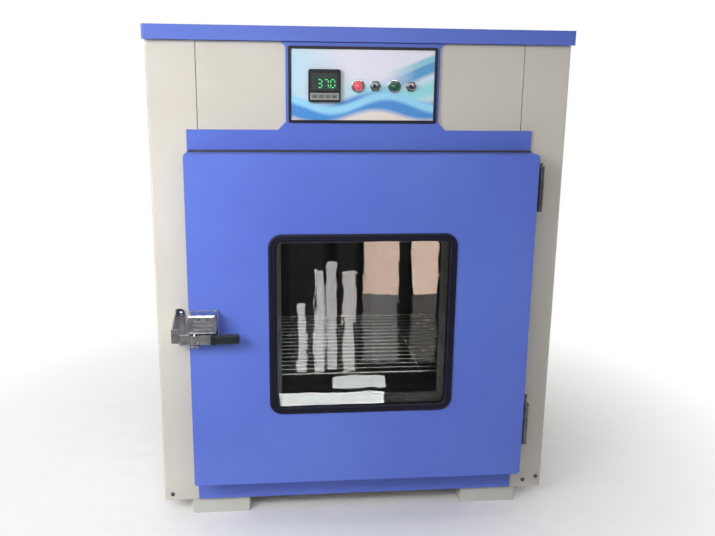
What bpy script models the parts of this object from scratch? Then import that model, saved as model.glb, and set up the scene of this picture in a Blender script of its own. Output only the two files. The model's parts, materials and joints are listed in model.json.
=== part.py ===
"""Bacteriological incubator: a double-walled cabinet with a glazed, latched door.

Lengths are in metres. Pieces are laid out in cabinet coordinates: x from the middle,
y back from the plane of the cabinet's front, z up from the cabinet's underside.
The world origin is the middle of the whole object's footprint, at the soles of the feet.
"""

import math

import bmesh
import bpy
from mathutils import Euler, Vector

# Sheet metal and clearances
SHEET = 0.0012
GAP = 0.0003
BEND_RADIUS = 0.003

# Cabinet
CABINET_WIDTH = 0.640
CABINET_DEPTH = 0.600
SIDE_WALL = 0.095
BACK_WALL = 0.150
HEAD_HEIGHT = 0.129
PILLAR_WIDTH = 0.072
REAR_RETURN = 0.020
SEAM = 0.0008
TOP_COVER_HEIGHT = 0.0215
TOP_COVER_OVERHANG = 0.003
TOP_COVER_NOSE = 0.010
TOP_COVER_HEM = 0.0135
FOOT_WIDTH = 0.096
FOOT_DEPTH = 0.070
FOOT_HEIGHT = 0.027
FOOT_SHEET = 0.002
FOOT_HEM = 0.012
FOOT_INSET_SIDE = 0.044
FOOT_INSET_FRONT = 0.003

# Blue door frame with its neck
FRAME_INSET = 0.056
FRAME_BASE = 0.0027
FRAME_OVER_DOOR = 0.0315
FRAME_PROUD = 0.005
FASCIA_LAP = 0.009
NECK_WIDTH = 0.232
NECK_FLARE = 0.012
NECK_TOP_FLARE = 0.007
INSTRUMENT_WINDOW_WIDTH = 0.200
INSTRUMENT_WINDOW_HEIGHT = 0.072

# Door
DOOR_LAP = 0.002
DOOR_HEIGHT = 0.5295
DOOR_BASE = 0.050
DOOR_THICKNESS = 0.0395
DOOR_CORNER = 0.004
DOOR_SEAL = 0.0045
SEAL_WIDTH = 0.018
SEAL_INSET = 0.010
SEAL_CORNER = 0.010
LINER_RETURN = 0.010

# Window in the door
WINDOW_SIZE = 0.290
WINDOW_CORNER = 0.020
BEAD_WIDTH = 0.012
BEAD_PROUD = 0.003
BEAD_WEB = 0.0025
GLASS_THICKNESS = 0.004
REVEAL_SHEET = 0.001
REVEAL_LIP = 0.006

# Stainless chamber and what stands in it
CHAMBER_INSET = 0.03975
CHAMBER_SHEET = 0.001
CHAMBER_CORNER = 0.012
CHAMBER_FLANGE = 0.016
INSULATION_DROP = 0.011
UPRIGHT_WIDTH = 0.020
UPRIGHT_DEPTH = 0.006
UPRIGHT_SHEET = 0.001
UPRIGHT_HEIGHT = 0.400
UPRIGHT_INSET = 0.045
SLOT_WIDTH = 0.004
SLOT_HEIGHT = 0.012
SLOT_PITCH = 0.025
RAIL_WIDTH = 0.014
RAIL_HEIGHT = 0.012
SHELF_HEIGHT = 0.123
SHELF_FRONT = 0.028
SHELF_BACK_ROOM = 0.022
SHELF_CORNER = 0.010
SHELF_WIRE_PITCH = 0.0245
SHELF_WIRE_RADIUS = 0.00125
SHELF_BORDER_RADIUS = 0.0025
SHELF_ROD_RADIUS = 0.002
SHELF_ROD_DROP = 0.0005
SHELF_ROD_COUNT = 3
FLOOR_PLATE_HEIGHT = 0.024
FLOOR_PLATE_INSET = 0.012
FLOOR_SLOT_LENGTH = 0.030
FLOOR_SLOT_WIDTH = 0.006
FLOOR_SLOT_ROWS = 4
FLOOR_SLOT_COLUMNS = 8
HEATER_RADIUS = 0.004
HEATER_SPREAD = 0.120
HEATER_FRONT_ROOM = 0.090
HEATER_LOOP_SPREAD = 0.040
HEATER_LOOP_REACH = 0.300
HEATER_BEND = 0.030
HEATER_FLANGE_EDGE = 0.008
HEATER_FLANGE_DEPTH = 0.0054
HEATER_ROOM = 0.002
PROBE_RADIUS = 0.003
PROBE_LENGTH = 0.090
PROBE_COLLAR_RADIUS = 0.009
PROBE_COLLAR_DEPTH = 0.009
PROBE_COLLAR_CHAMFER = 0.002
PROBE_DROP = 0.070

# Control label and its instruments
LABEL_WIDTH = 0.224
LABEL_HEIGHT = 0.112
LABEL_RISE = 0.067
LABEL_THICKNESS = 0.001
LABEL_BORDER = 0.004
LABEL_BORDER_PROUD = 0.0015
INSTRUMENT_RISE = 0.066
CONTROLLER_X = -0.0585
CONTROLLER_SIZE = 0.048
CONTROLLER_PROUD = 0.007
CONTROLLER_BODY = 0.0444
CONTROLLER_BODY_DEPTH = 0.078
DISPLAY_WIDTH = 0.040
DISPLAY_HEIGHT = 0.026
DISPLAY_RISE = 0.006
DISPLAY_DEPTH = 0.0016
KEY_COUNT = 4
KEY_PITCH = 0.0098
KEY_WIDTH = 0.0076
KEY_HEIGHT = 0.0046
KEY_DROP = 0.0155
KEY_POCKET = 0.0034
KEY_TRAVEL = 0.0008
RED_LAMP_X = -0.008
GREEN_LAMP_X = 0.047
LAMP_RADIUS = 0.010
LAMP_BEZEL_DEPTH = 0.003
LAMP_LENS_RADIUS = 0.0072
LAMP_BARREL_RADIUS = 0.0066
LAMP_BARREL_LENGTH = 0.026
LAMP_STEM_RADIUS = 0.005
LAMP_STEM_LENGTH = 0.013
LAMP_RIM_CHAMFER = 0.0008
LEFT_TOGGLE_X = 0.018
RIGHT_TOGGLE_X = 0.072
TOGGLE_NUT_RADIUS = 0.007
TOGGLE_NUT_DEPTH = 0.0025
TOGGLE_BUSHING_RADIUS = 0.0052
TOGGLE_BUSHING_REACH = 0.0065
TOGGLE_BORE_RADIUS = 0.0036
TOGGLE_BORE_DEPTH = 0.0083
TOGGLE_BODY_WIDTH = 0.013
TOGGLE_BODY_DEPTH = 0.020
TOGGLE_LEVER_LENGTH = 0.018
TOGGLE_LEVER_RADIUS = 0.0015
TOGGLE_TIP_RADIUS = 0.0025
TOGGLE_TIP_LENGTH = 0.005
TOGGLE_TILT = math.radians(12)

# Hinges on the right of the door
HINGE_RADIUS = 0.0045
HINGE_PIN_RADIUS = 0.0022
HINGE_LEAF = 0.002
HINGE_HEIGHT = 0.070
HINGE_SETBACK = 0.009
HINGE_LEAF_WIDTH = 0.012
UPPER_HINGE_DROP = 0.0535
LOWER_HINGE_RISE = 0.086

# Latch on the left of the door
LATCH_PIVOT_INSET = 0.010
LATCH_PIVOT_STANDOFF = 0.020
LATCH_PIN_RADIUS = 0.003
LATCH_BOSS_RADIUS = 0.0065
LATCH_PLATE = 0.003
LATCH_PLATE_WIDTH = 0.044
LATCH_BODY_WIDTH = 0.043
LATCH_BODY_HEIGHT = 0.031
LATCH_BODY_BEVEL = 0.004
LATCH_GROOVE_RADIUS = 0.0016
LATCH_GROOVE_PITCH = 0.0065
LATCH_GROOVE_COUNT = 3
LEVER_RISE = 0.2535
LEVER_HEIGHT = 0.015
LEVER_THICKNESS = 0.006
LEVER_TONGUE = 0.0235
LEVER_ARM = 0.064
LEVER_PLAY = 0.0015
GRIP_LENGTH = 0.038
GRIP_THICKNESS = 0.014
GRIP_HEIGHT = 0.0155
GRIP_ROUND = 0.0045
KEEPER_SHEET = 0.002
KEEPER_HEIGHT = 0.058
KEEPER_FLANGE = 0.014
KEEPER_NOSE = 0.010
KEEPER_NOSE_HEIGHT = 0.022
KEEPER_NOSE_RISE = 0.006
KEEPER_NOSE_DEPTH = 0.008
KEEPER_CORNER = 0.007
KEEPER_CLEARANCE = 0.001

# Vents through the side walls
VENT_Y = 0.200
VENT_DROP = 0.055
VENT_BORE = 0.009
VENT_WALL = 0.0015
VENT_COLLAR = 0.004
VENT_PLATE = 0.0025
VENT_PLATE_WIDTH = 0.040
VENT_PLATE_HEIGHT = 0.064
VENT_COVER = 0.002
VENT_COVER_RADIUS = 0.013
VENT_PIVOT_RISE = 0.022
VENT_PIVOT_RADIUS = 0.002
VENT_RIVET_RADIUS = 0.004
VENT_RIVET_HEAD = 0.0012
VENT_EAR = 0.006

# Cord gland and cooling slots in the back panel
GLAND_X = 0.200
GLAND_RISE = 0.057
GLAND_REACH = 0.022
GLAND_BORE = 0.0045
GLAND_TAIL_RADIUS = 0.0077
GLAND_TAIL_LENGTH = 0.012
GLAND_NUT_RADIUS = 0.012
GLAND_NUT_DEPTH = 0.0066
GLAND_DOME_RADIUS = 0.0102
GLAND_MOUTH_RADIUS = 0.0064
GLAND_MOUTH_DEPTH = 0.0033
COOLING_SLOT_LENGTH = 0.070
COOLING_SLOT_HEIGHT = 0.003
COOLING_SLOT_PITCH = 0.012
COOLING_SLOT_SPACING = 0.084
COOLING_SLOT_COUNT = 6

# Sizes and places worked out from the sizes above
CHAMBER_WIDTH = CABINET_WIDTH - 2 * SIDE_WALL
CHAMBER_DEPTH = CABINET_DEPTH - BACK_WALL
CHAMBER_HEIGHT = DOOR_HEIGHT - 2 * CHAMBER_INSET
FRAME_WIDTH = CABINET_WIDTH - 2 * FRAME_INSET
FRAME_TOP = DOOR_BASE + DOOR_HEIGHT + FRAME_OVER_DOOR
CABINET_HEIGHT = FRAME_TOP + HEAD_HEIGHT
DOOR_WIDTH = FRAME_WIDTH + 2 * DOOR_LAP
INSULATION_TOP = FRAME_TOP - INSULATION_DROP
SHELF_DEPTH = CHAMBER_DEPTH - SHELF_FRONT - SHELF_BACK_ROOM
LABEL_CENTRE_Z = FRAME_TOP + LABEL_RISE
INSTRUMENT_Z = FRAME_TOP + INSTRUMENT_RISE
GLAND_Z = FRAME_TOP + GLAND_RISE
UPPER_HINGE_Z = DOOR_BASE + DOOR_HEIGHT - UPPER_HINGE_DROP
LOWER_HINGE_Z = DOOR_BASE + LOWER_HINGE_RISE
LEVER_Z = DOOR_BASE + LEVER_RISE
DOOR_BACK_Y = -FRAME_PROUD - DOOR_SEAL
DOOR_FACE_Y = DOOR_BACK_Y - DOOR_THICKNESS
DOOR_CENTRE_Z = DOOR_BASE + DOOR_HEIGHT / 2
CHAMBER_FLOOR_Z = DOOR_CENTRE_Z - CHAMBER_HEIGHT / 2
CHAMBER_CEILING_Z = DOOR_CENTRE_Z + CHAMBER_HEIGHT / 2
SHELF_Z = CHAMBER_FLOOR_Z + SHELF_HEIGHT
FLOOR_PLATE_Z = CHAMBER_FLOOR_Z + FLOOR_PLATE_HEIGHT
HEATER_Z = CHAMBER_FLOOR_Z + FLOOR_PLATE_HEIGHT / 2
BACK_PANEL_Y = CABINET_DEPTH - SHEET - GAP
INNER_WIDTH = CABINET_WIDTH - 2 * (BEND_RADIUS + GAP)
LABEL_BACK_Y = -FRAME_PROUD - GAP
LABEL_FACE_Y = LABEL_BACK_Y - LABEL_THICKNESS
CONTROLLER_FACE_Y = LABEL_FACE_Y - GAP - CONTROLLER_PROUD
GLASS_SIZE = WINDOW_SIZE - BEAD_WIDTH - BEAD_WEB - 2 * GAP
SIGHT_SIZE = WINDOW_SIZE - 2 * BEAD_WIDTH
REVEAL_SIZE = SIGHT_SIZE - 2 * GAP
SKIN_OPENING = WINDOW_SIZE - BEAD_WIDTH + BEAD_WEB
HINGE_X = DOOR_WIDTH / 2 + GAP + HINGE_LEAF + GAP + HINGE_RADIUS
HINGE_Y = DOOR_FACE_Y + HINGE_SETBACK
LATCH_PIVOT_X = -DOOR_WIDTH / 2 + LATCH_PIVOT_INSET
LATCH_PIVOT_Y = DOOR_FACE_Y - LATCH_PIVOT_STANDOFF
LATCH_BODY_Z = LEVER_Z + GRIP_HEIGHT / 2 + LEVER_PLAY + LATCH_BODY_HEIGHT / 2
SHELF_HALF_WIDTH = CHAMBER_WIDTH / 2 - UPRIGHT_DEPTH - RAIL_WIDTH / 2 - 2 * GAP
VENT_Z = CHAMBER_CEILING_Z - VENT_DROP
TOGGLE_PIVOT_Y = LABEL_FACE_Y - GAP - TOGGLE_BUSHING_REACH / 2
FRONT_REACH = -LATCH_PIVOT_Y + GRIP_THICKNESS / 2
BACK_REACH = BACK_PANEL_Y + GAP + GLAND_REACH
FRONT_Y = (FRONT_REACH - BACK_REACH) / 2
UNDERSIDE_Z = FOOT_HEIGHT + GAP

FACING = {
    "front": Euler((math.pi / 2, 0, 0)),
    "top": Euler((0, 0, 0)),
    "side": Euler((math.pi / 2, 0, math.pi / 2)),
}


def world(point):
    """Cabinet coordinates to world coordinates."""
    return Vector((point[0], FRONT_Y + point[1], UNDERSIDE_Z + point[2]))


def clear_scene():
    for old in list(bpy.data.objects):
        bpy.data.objects.remove(old, do_unlink=True)


def add_collection(name):
    collection = bpy.data.collections.new(name)
    bpy.context.scene.collection.children.link(collection)
    return collection


def finish(name, color, roughness, metallic, transmission=0.0):
    """A plain finish for one family of pieces."""
    material = bpy.data.materials.new(name)
    material.use_nodes = True
    shader = material.node_tree.nodes["Principled BSDF"]
    shader.inputs["Base Color"].default_value = (*color, 1.0)
    shader.inputs["Roughness"].default_value = roughness
    shader.inputs["Metallic"].default_value = metallic
    shader.inputs["Transmission Weight"].default_value = transmission
    return material


clear_scene()
PARTS = add_collection("bacteriological_incubator")
CUTTERS = add_collection("cutters_and_guides")
FINISHES = {
    "blue": ("blue enamel", (0.12, 0.18, 0.62), 0.35, 0.0),
    "cream": ("cream enamel", (0.62, 0.58, 0.50), 0.45, 0.0),
    "steel": ("stainless sheet", (0.62, 0.61, 0.58), 0.25, 1.0),
    "wire": ("bright wire", (0.66, 0.65, 0.63), 0.22, 1.0),
    "chrome": ("chrome plate", (0.72, 0.72, 0.73), 0.12, 1.0),
    "zinc": ("zinc plate", (0.33, 0.33, 0.35), 0.40, 1.0),
    "rubber": ("black rubber", (0.012, 0.012, 0.03), 0.60, 0.0),
    "silicone": ("grey silicone", (0.10, 0.10, 0.11), 0.55, 0.0),
    "plastic": ("black plastic", (0.02, 0.02, 0.022), 0.40, 0.0),
    "keys": ("grey keys", (0.30, 0.31, 0.29), 0.50, 0.0),
    "screen": ("display window", (0.10, 0.13, 0.12), 0.15, 0.0),
    "label": ("printed label", (0.70, 0.80, 0.90), 0.35, 0.0),
    "red": ("red lens", (0.70, 0.05, 0.10), 0.20, 0.0),
    "green": ("green lens", (0.01, 0.22, 0.10), 0.20, 0.0),
    "glass": ("clear glass", (0.90, 0.95, 0.94), 0.03, 0.0, 1.0),
    "wool": ("mineral wool", (0.55, 0.50, 0.36), 0.95, 0.0),
}


def look(key):
    """The material of a finish, made the first time it is asked for."""
    description = FINISHES[key]
    return bpy.data.materials.get(description[0]) or finish(*description)


def place(name, mesh, key, rotation=None, location=None):
    """A named piece in the parts collection, or a guide where it has no finish."""
    piece = bpy.data.objects.new(name, mesh)
    piece.rotation_euler = rotation or Euler((0, 0, 0))
    piece.location = location or Vector((0, 0, 0))
    if key:
        mesh.materials.append(look(key))
        PARTS.objects.link(piece)
    else:
        piece.hide_render = True
        piece.display_type = "WIRE"
        CUTTERS.objects.link(piece)
    mesh.shade_smooth()
    mesh.set_sharp_from_angle(angle=math.radians(35))
    return piece


def solid_from_curve(name, curve, key, rotation, location):
    """The welded mesh of a curve, as a piece."""
    guide = bpy.data.objects.new(name + " guide", curve)
    CUTTERS.objects.link(guide)
    depsgraph = bpy.context.evaluated_depsgraph_get()
    mesh = bpy.data.meshes.new_from_object(guide.evaluated_get(depsgraph))
    shape = bmesh.new()
    shape.from_mesh(mesh)
    bmesh.ops.remove_doubles(shape, verts=shape.verts, dist=0.00001)
    bmesh.ops.recalc_face_normals(shape, faces=shape.faces)
    shape.to_mesh(mesh)
    shape.free()
    mesh.materials.clear()
    mesh.name = name
    bpy.data.objects.remove(guide, do_unlink=True)
    return place(name, mesh, key, rotation, location)


def flat_curve(name, outlines, thickness):
    curve = bpy.data.curves.new(name, "CURVE")
    curve.dimensions = "2D"
    curve.fill_mode = "BOTH"
    curve.extrude = thickness / 2
    for outline in outlines:
        spline = curve.splines.new("POLY")
        spline.points.add(len(outline) - 1)
        for point, corner in zip(spline.points, outline):
            point.co = (corner[0], corner[1], 0, 1)
        spline.use_cyclic_u = True
    return curve


def plate(name, outlines, thickness, centre, facing, key=None):
    """A flat piece: the first outline is its edge, the others are its holes."""
    curve = flat_curve(name, outlines, thickness)
    return solid_from_curve(name, curve, key, FACING[facing], world(centre))


def pan(name, outlines, depth, centre, facing, key, sheet=SHEET, rim=0.0, grow=-1):
    """Folded sheet: a face whose edges all turn back by depth, and end in a rim if it has one.

    A negative depth turns the edges forward, as on a box that is open at the front.
    """
    guide = bpy.data.objects.new(name, flat_curve(name, outlines, 0))
    CUTTERS.objects.link(guide)
    depsgraph = bpy.context.evaluated_depsgraph_get()
    mesh = bpy.data.meshes.new_from_object(guide.evaluated_get(depsgraph))
    bpy.data.objects.remove(guide, do_unlink=True)
    shape = bmesh.new()
    shape.from_mesh(mesh)
    bmesh.ops.remove_doubles(shape, verts=shape.verts, dist=0.00001)
    turned_edge(shape, Vector((0, 0, -depth)))
    if rim:
        half_width = max(corner[0] for corner in outlines[0])
        half_height = max(corner[1] for corner in outlines[0])
        grown = turned_edge(shape, Vector((0, 0, 0)))
        bmesh.ops.scale(
            shape, vec=(1 + rim / half_width, 1 + rim / half_height, 1), verts=grown
        )
    bmesh.ops.recalc_face_normals(shape, faces=shape.faces)
    face = max(shape.faces, key=lambda candidate: candidate.calc_center_median().z * depth)
    if face.normal.z * depth < 0:
        bmesh.ops.reverse_faces(shape, faces=shape.faces)
    shape.to_mesh(mesh)
    shape.free()
    mesh.materials.clear()
    piece = place(name, mesh, key, FACING[facing], world(centre))
    fold = piece.modifiers.new("sheet", "SOLIDIFY")
    fold.thickness = sheet
    fold.offset = grow
    fold.use_even_offset = True
    fold.use_quality_normals = True
    return piece


def turned_edge(shape, shift):
    """Extrudes the open edges by shift and returns the new corners."""
    edges = [edge for edge in shape.edges if edge.is_boundary]
    made = bmesh.ops.extrude_edge_only(shape, edges=edges)["geom"]
    corners = [item for item in made if isinstance(item, bmesh.types.BMVert)]
    bmesh.ops.translate(shape, vec=shift, verts=corners)
    return corners


def boxes(name, spans, key=None):
    """Boxes between pairs of opposite corners, as one mesh."""
    mesh = bpy.data.meshes.new(name)
    shape = bmesh.new()
    for low, high in spans:
        low, high = Vector(low), Vector(high)
        made = bmesh.ops.create_cube(shape, size=1.0)["verts"]
        bmesh.ops.scale(shape, vec=high - low, verts=made)
        bmesh.ops.translate(shape, vec=(low + high) / 2, verts=made)
    shape.to_mesh(mesh)
    shape.free()
    return place(name, mesh, key, location=world((0, 0, 0)))


def rods(name, spans, radius, sides=12, key=None):
    """Round bars between pairs of end points, as one mesh."""
    mesh = bpy.data.meshes.new(name)
    shape = bmesh.new()
    for start, end in spans:
        start, end = Vector(start), Vector(end)
        run = end - start
        turn = Vector((0, 0, 1)).rotation_difference(run).to_matrix().to_4x4()
        made = bmesh.ops.create_cone(
            shape, cap_ends=True, segments=sides, radius1=radius, radius2=radius,
            depth=run.length, matrix=turn,
        )["verts"]
        bmesh.ops.translate(shape, vec=(start + end) / 2, verts=made)
    shape.to_mesh(mesh)
    shape.free()
    return place(name, mesh, key, location=world((0, 0, 0)))


def bent_rod(name, path, radius, key, closed=False, resolution=2):
    """A round bar that follows a path, with filled ends where it is open."""
    curve = bpy.data.curves.new(name, "CURVE")
    curve.dimensions = "3D"
    curve.bevel_depth = radius
    curve.bevel_resolution = resolution
    curve.use_fill_caps = not closed
    spline = curve.splines.new("POLY")
    spline.points.add(len(path) - 1)
    for point, corner in zip(spline.points, path):
        point.co = (*corner, 1)
    spline.use_cyclic_u = closed
    return solid_from_curve(name, curve, key, Euler((0, 0, 0)), world((0, 0, 0)))


def turned(name, profile, centre, toward, key=None, ring=False, steps=20):
    """A turned piece: profile holds (radius, height) down its outer side, height along toward."""
    mesh = bpy.data.meshes.new(name)
    corners = [(radius, 0, height) for radius, height in profile]
    edges = [(index, index + 1) for index in range(len(corners) - 1)]
    if ring:
        edges.append((len(corners) - 1, 0))
    mesh.from_pydata(corners, edges, [])
    turn = Vector((0, 0, 1)).rotation_difference(Vector(toward)).to_euler()
    piece = place(name, mesh, key, turn, world(centre))
    screw = piece.modifiers.new("turning", "SCREW")
    screw.steps = steps
    screw.render_steps = steps
    screw.use_merge_vertices = True
    screw.merge_threshold = 0.00001
    screw.use_smooth_shade = True
    return piece


def dome(radius, top, steps=3):
    """Profile points of a half ball, from its top on the axis down to its widest circle."""
    points = [(0, top)]
    for step in range(1, steps + 1):
        angle = math.pi / 2 * (1 - step / steps)
        points.append((radius * math.cos(angle), top - radius + radius * math.sin(angle)))
    return points


def combine(piece, tool, operation):
    """A Boolean of the piece with a guide solid."""
    step = piece.modifiers.new(tool.name, "BOOLEAN")
    step.operation = operation
    step.solver = "EXACT"
    step.object = tool


def cut(piece, *tools):
    for tool in tools:
        combine(piece, tool, "DIFFERENCE")


def join(piece, *tools):
    for tool in tools:
        combine(piece, tool, "UNION")


def soften(piece, width, segments=2):
    edge = piece.modifiers.new("rounded edges", "BEVEL")
    edge.width = width
    edge.segments = segments
    edge.limit_method = "ANGLE"
    edge.angle_limit = math.radians(50)


def joint_empty(name, point):
    """An empty on a joint's axis, which carries the body that the joint moves."""
    empty = bpy.data.objects.new(name, None)
    empty.location = world(point)
    PARTS.objects.link(empty)
    return empty


def carry(empty, *pieces):
    for piece in pieces:
        piece.parent = empty
        piece.location = piece.location - empty.location


def rectangle(width, height, centre=(0, 0)):
    x, y = width / 2, height / 2
    signs = ((1, 1), (-1, 1), (-1, -1), (1, -1))
    return [(centre[0] + u * x, centre[1] + v * y) for u, v in signs]


def arc(centre, radius, start, end, steps):
    """Points of an arc, from one angle to another."""
    angles = [start + (end - start) * step / steps for step in range(steps + 1)]
    return [(centre[0] + radius * math.cos(a), centre[1] + radius * math.sin(a)) for a in angles]


def rounded_rectangle(width, height, radius, centre=(0, 0), steps=4):
    points = []
    signs = ((1, 1), (-1, 1), (-1, -1), (1, -1))
    for quarter, (u, v) in enumerate(signs):
        middle = (
            centre[0] + u * (width / 2 - radius),
            centre[1] + v * (height / 2 - radius),
        )
        start = quarter * math.pi / 2
        points += arc(middle, radius, start, start + math.pi / 2, steps)
    return points


def circle(radius, centre=(0, 0), steps=24):
    return arc(centre, radius, 0, 2 * math.pi * (steps - 1) / steps, steps - 1)


def rounded_path(corners, radius, steps=3):
    """An open path whose inner corners are replaced by arcs of the given radius."""
    corners = [Vector(corner) for corner in corners]
    path = [corners[0]]
    for before, corner, after in zip(corners, corners[1:], corners[2:]):
        arrive = (before - corner).normalized()
        leave = (after - corner).normalized()
        half = arrive.angle(leave) / 2
        middle = corner + (arrive + leave).normalized() * radius / math.sin(half)
        start = corner + arrive * radius / math.tan(half) - middle
        end = corner + leave * radius / math.tan(half) - middle
        first = math.atan2(start.y, start.x)
        sweep = math.remainder(math.atan2(end.y, end.x) - first, 2 * math.pi)
        path += [Vector(point) for point in arc(middle, radius, first, first + sweep, steps)]
    return path + [corners[-1]]


def folded_strip(path, thickness):
    """The outline of a bent sheet: the path is one face, the other lies to its left."""
    path = [Vector(point) for point in path]
    runs = [(after - before).normalized() for before, after in zip(path, path[1:])]
    normals = [Vector((-run.y, run.x)) for run in runs]
    pairs = zip([normals[0]] + normals, normals + [normals[-1]])
    far = [
        point + (a + b) * thickness / (1 + a.dot(b)) for point, (a, b) in zip(path, pairs)
    ]
    return [tuple(point) for point in path + far[::-1]]


# Cabinet shell


def side_panel(name, side):
    """Side wall folded round to the front pillar and to a narrow return at the back.

    The hole for the vent has a drawn collar, in which the vent's tube sits.
    """
    wall = side * CABINET_WIDTH / 2
    path = [
        (wall - side * PILLAR_WIDTH, 0),
        (wall, 0),
        (wall, CABINET_DEPTH),
        (wall - side * REAR_RETURN, CABINET_DEPTH),
    ]
    outline = folded_strip(rounded_path(path, BEND_RADIUS), side * SHEET)
    panel = plate(name, [outline], CABINET_HEIGHT, (0, 0, CABINET_HEIGHT / 2), "top", "cream")
    outer = CABINET_WIDTH / 2
    inner = outer - SHEET - VENT_COLLAR
    seat = VENT_BORE + VENT_WALL + GAP
    collar = rods(
        name + " vent collar",
        [((side * inner, VENT_Y, VENT_Z), (side * (outer - SHEET / 2), VENT_Y, VENT_Z))],
        seat + SHEET,
        sides=24,
    )
    hole = rods(
        name + " vent hole",
        [((side * (inner - SHEET), VENT_Y, VENT_Z), (side * (outer + SHEET), VENT_Y, VENT_Z))],
        seat,
        sides=24,
    )
    join(panel, collar)
    cut(panel, hole)
    return panel


def back_panel():
    height = CABINET_HEIGHT - SHEET - 2 * GAP
    middle = SHEET + GAP + height / 2
    outlines = [
        rectangle(INNER_WIDTH, height),
        circle(GLAND_TAIL_RADIUS + GAP, (GLAND_X, GLAND_Z - middle)),
    ]
    for row in range(COOLING_SLOT_COUNT):
        rise = GLAND_Z - middle + (row - (COOLING_SLOT_COUNT - 1) / 2) * COOLING_SLOT_PITCH
        for side in (-1, 1):
            across = (side * COOLING_SLOT_SPACING / 2, rise)
            outlines.append(rectangle(COOLING_SLOT_LENGTH, COOLING_SLOT_HEIGHT, across))
    centre = (0, BACK_PANEL_Y - SHEET / 2, middle)
    return plate("back_panel", outlines, SHEET, centre, "front", "cream")


def bottom_panel():
    front = SHEET + GAP
    depth = BACK_PANEL_Y - front
    outline = rectangle(INNER_WIDTH, depth)
    centre = (0, front + depth / 2, SHEET / 2)
    return plate("bottom_panel", [outline], SHEET, centre, "top", "cream")


def top_cover():
    """Blue cover: its edges turn down and end in a hem that rests on the walls."""
    width = CABINET_WIDTH + 2 * TOP_COVER_OVERHANG
    depth = CABINET_DEPTH + TOP_COVER_OVERHANG + TOP_COVER_NOSE
    middle = (CABINET_DEPTH + TOP_COVER_OVERHANG - TOP_COVER_NOSE) / 2
    outline = rounded_rectangle(width, depth, BEND_RADIUS)
    centre = (0, middle, CABINET_HEIGHT + GAP + TOP_COVER_HEIGHT)
    return pan(
        "top_cover", [outline], TOP_COVER_HEIGHT, centre, "top", "blue", rim=-TOP_COVER_HEM
    )


def fascia_panel():
    """Cream panel above the door, between the pillars and behind the blue neck."""
    width = CABINET_WIDTH - 2 * PILLAR_WIDTH - 2 * SEAM
    base = FRAME_TOP - FASCIA_LAP
    height = CABINET_HEIGHT - GAP - base
    middle = base + height / 2
    window = rectangle(
        INSTRUMENT_WINDOW_WIDTH, INSTRUMENT_WINDOW_HEIGHT, (0, INSTRUMENT_Z - middle)
    )
    outlines = [rectangle(width, height), window]
    return plate("fascia_panel", outlines, SHEET, (0, SHEET / 2, middle), "front", "cream")


def door_frame():
    """Blue frame round the chamber's mouth, with the neck that carries the control label."""
    top = CABINET_HEIGHT - GAP
    half = [
        (FRAME_WIDTH / 2, FRAME_BASE),
        (FRAME_WIDTH / 2, FRAME_TOP),
        (NECK_WIDTH / 2 + NECK_FLARE, FRAME_TOP),
        (NECK_WIDTH / 2, FRAME_TOP + NECK_FLARE),
        (NECK_WIDTH / 2, top - NECK_TOP_FLARE),
        (NECK_WIDTH / 2 + NECK_TOP_FLARE, top),
    ]
    outline = half + [(-x, z) for x, z in reversed(half)]
    mouth = rounded_rectangle(CHAMBER_WIDTH, CHAMBER_HEIGHT, CHAMBER_CORNER, (0, DOOR_CENTRE_Z))
    window = rectangle(INSTRUMENT_WINDOW_WIDTH, INSTRUMENT_WINDOW_HEIGHT, (0, INSTRUMENT_Z))
    return pan(
        "door_frame",
        [outline, mouth, window],
        FRAME_PROUD - GAP,
        (0, -FRAME_PROUD, 0),
        "front",
        "blue",
    )


def foot(name, side, end):
    """Folded foot with a hem to stand on: side is left or right, end is front or back."""
    across = side * (CABINET_WIDTH / 2 - FOOT_INSET_SIDE - FOOT_WIDTH / 2)
    inset = FOOT_INSET_FRONT + FOOT_DEPTH / 2
    along = inset if end < 0 else CABINET_DEPTH - inset
    outline = rounded_rectangle(FOOT_WIDTH, FOOT_DEPTH, BEND_RADIUS, steps=3)
    return pan(
        name,
        [outline],
        FOOT_HEIGHT,
        (across, along, -GAP),
        "top",
        "cream",
        FOOT_SHEET,
        rim=-FOOT_HEM,
    )


def cabinet_insulation():
    """Mineral wool round the chamber, with passages for the two vents."""
    half_width = INNER_WIDTH / 2
    front = SHEET + GAP
    back = BACK_PANEL_Y - SHEET - GAP
    wool = boxes(
        "cabinet_insulation",
        [((-half_width, front, SHEET + GAP), (half_width, back, INSULATION_TOP))],
        "wool",
    )
    wall = CHAMBER_SHEET + GAP
    hollow = plate(
        "chamber hollow",
        [rounded_rectangle(CHAMBER_WIDTH + 2 * wall, CHAMBER_HEIGHT + 2 * wall, CHAMBER_CORNER)],
        CHAMBER_DEPTH + wall + front,
        (0, (CHAMBER_DEPTH + wall - front) / 2, DOOR_CENTRE_Z),
        "front",
    )
    passages = rods(
        "vent passages",
        [((-half_width - front, VENT_Y, VENT_Z), (half_width + front, VENT_Y, VENT_Z))],
        VENT_BORE + VENT_WALL + SHEET + 2 * GAP,
        sides=24,
    )
    cut(wool, hollow, passages)
    return wool


# Chamber and what stands in it


def chamber():
    """Stainless liner, open at the front, with a flange behind the blue frame."""
    outline = rounded_rectangle(CHAMBER_WIDTH, CHAMBER_HEIGHT, CHAMBER_CORNER)
    liner = pan(
        "chamber",
        [outline],
        -CHAMBER_DEPTH,
        (0, CHAMBER_DEPTH, DOOR_CENTRE_Z),
        "front",
        "steel",
        CHAMBER_SHEET,
        CHAMBER_FLANGE,
        grow=1,
    )
    reach = CHAMBER_WIDTH / 2 + CHAMBER_FLANGE
    holes = rods(
        "chamber vent holes",
        [((-reach, VENT_Y, VENT_Z), (reach, VENT_Y, VENT_Z))],
        VENT_BORE + VENT_WALL + GAP,
        sides=24,
    )
    cut(liner, holes)
    return liner


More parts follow.
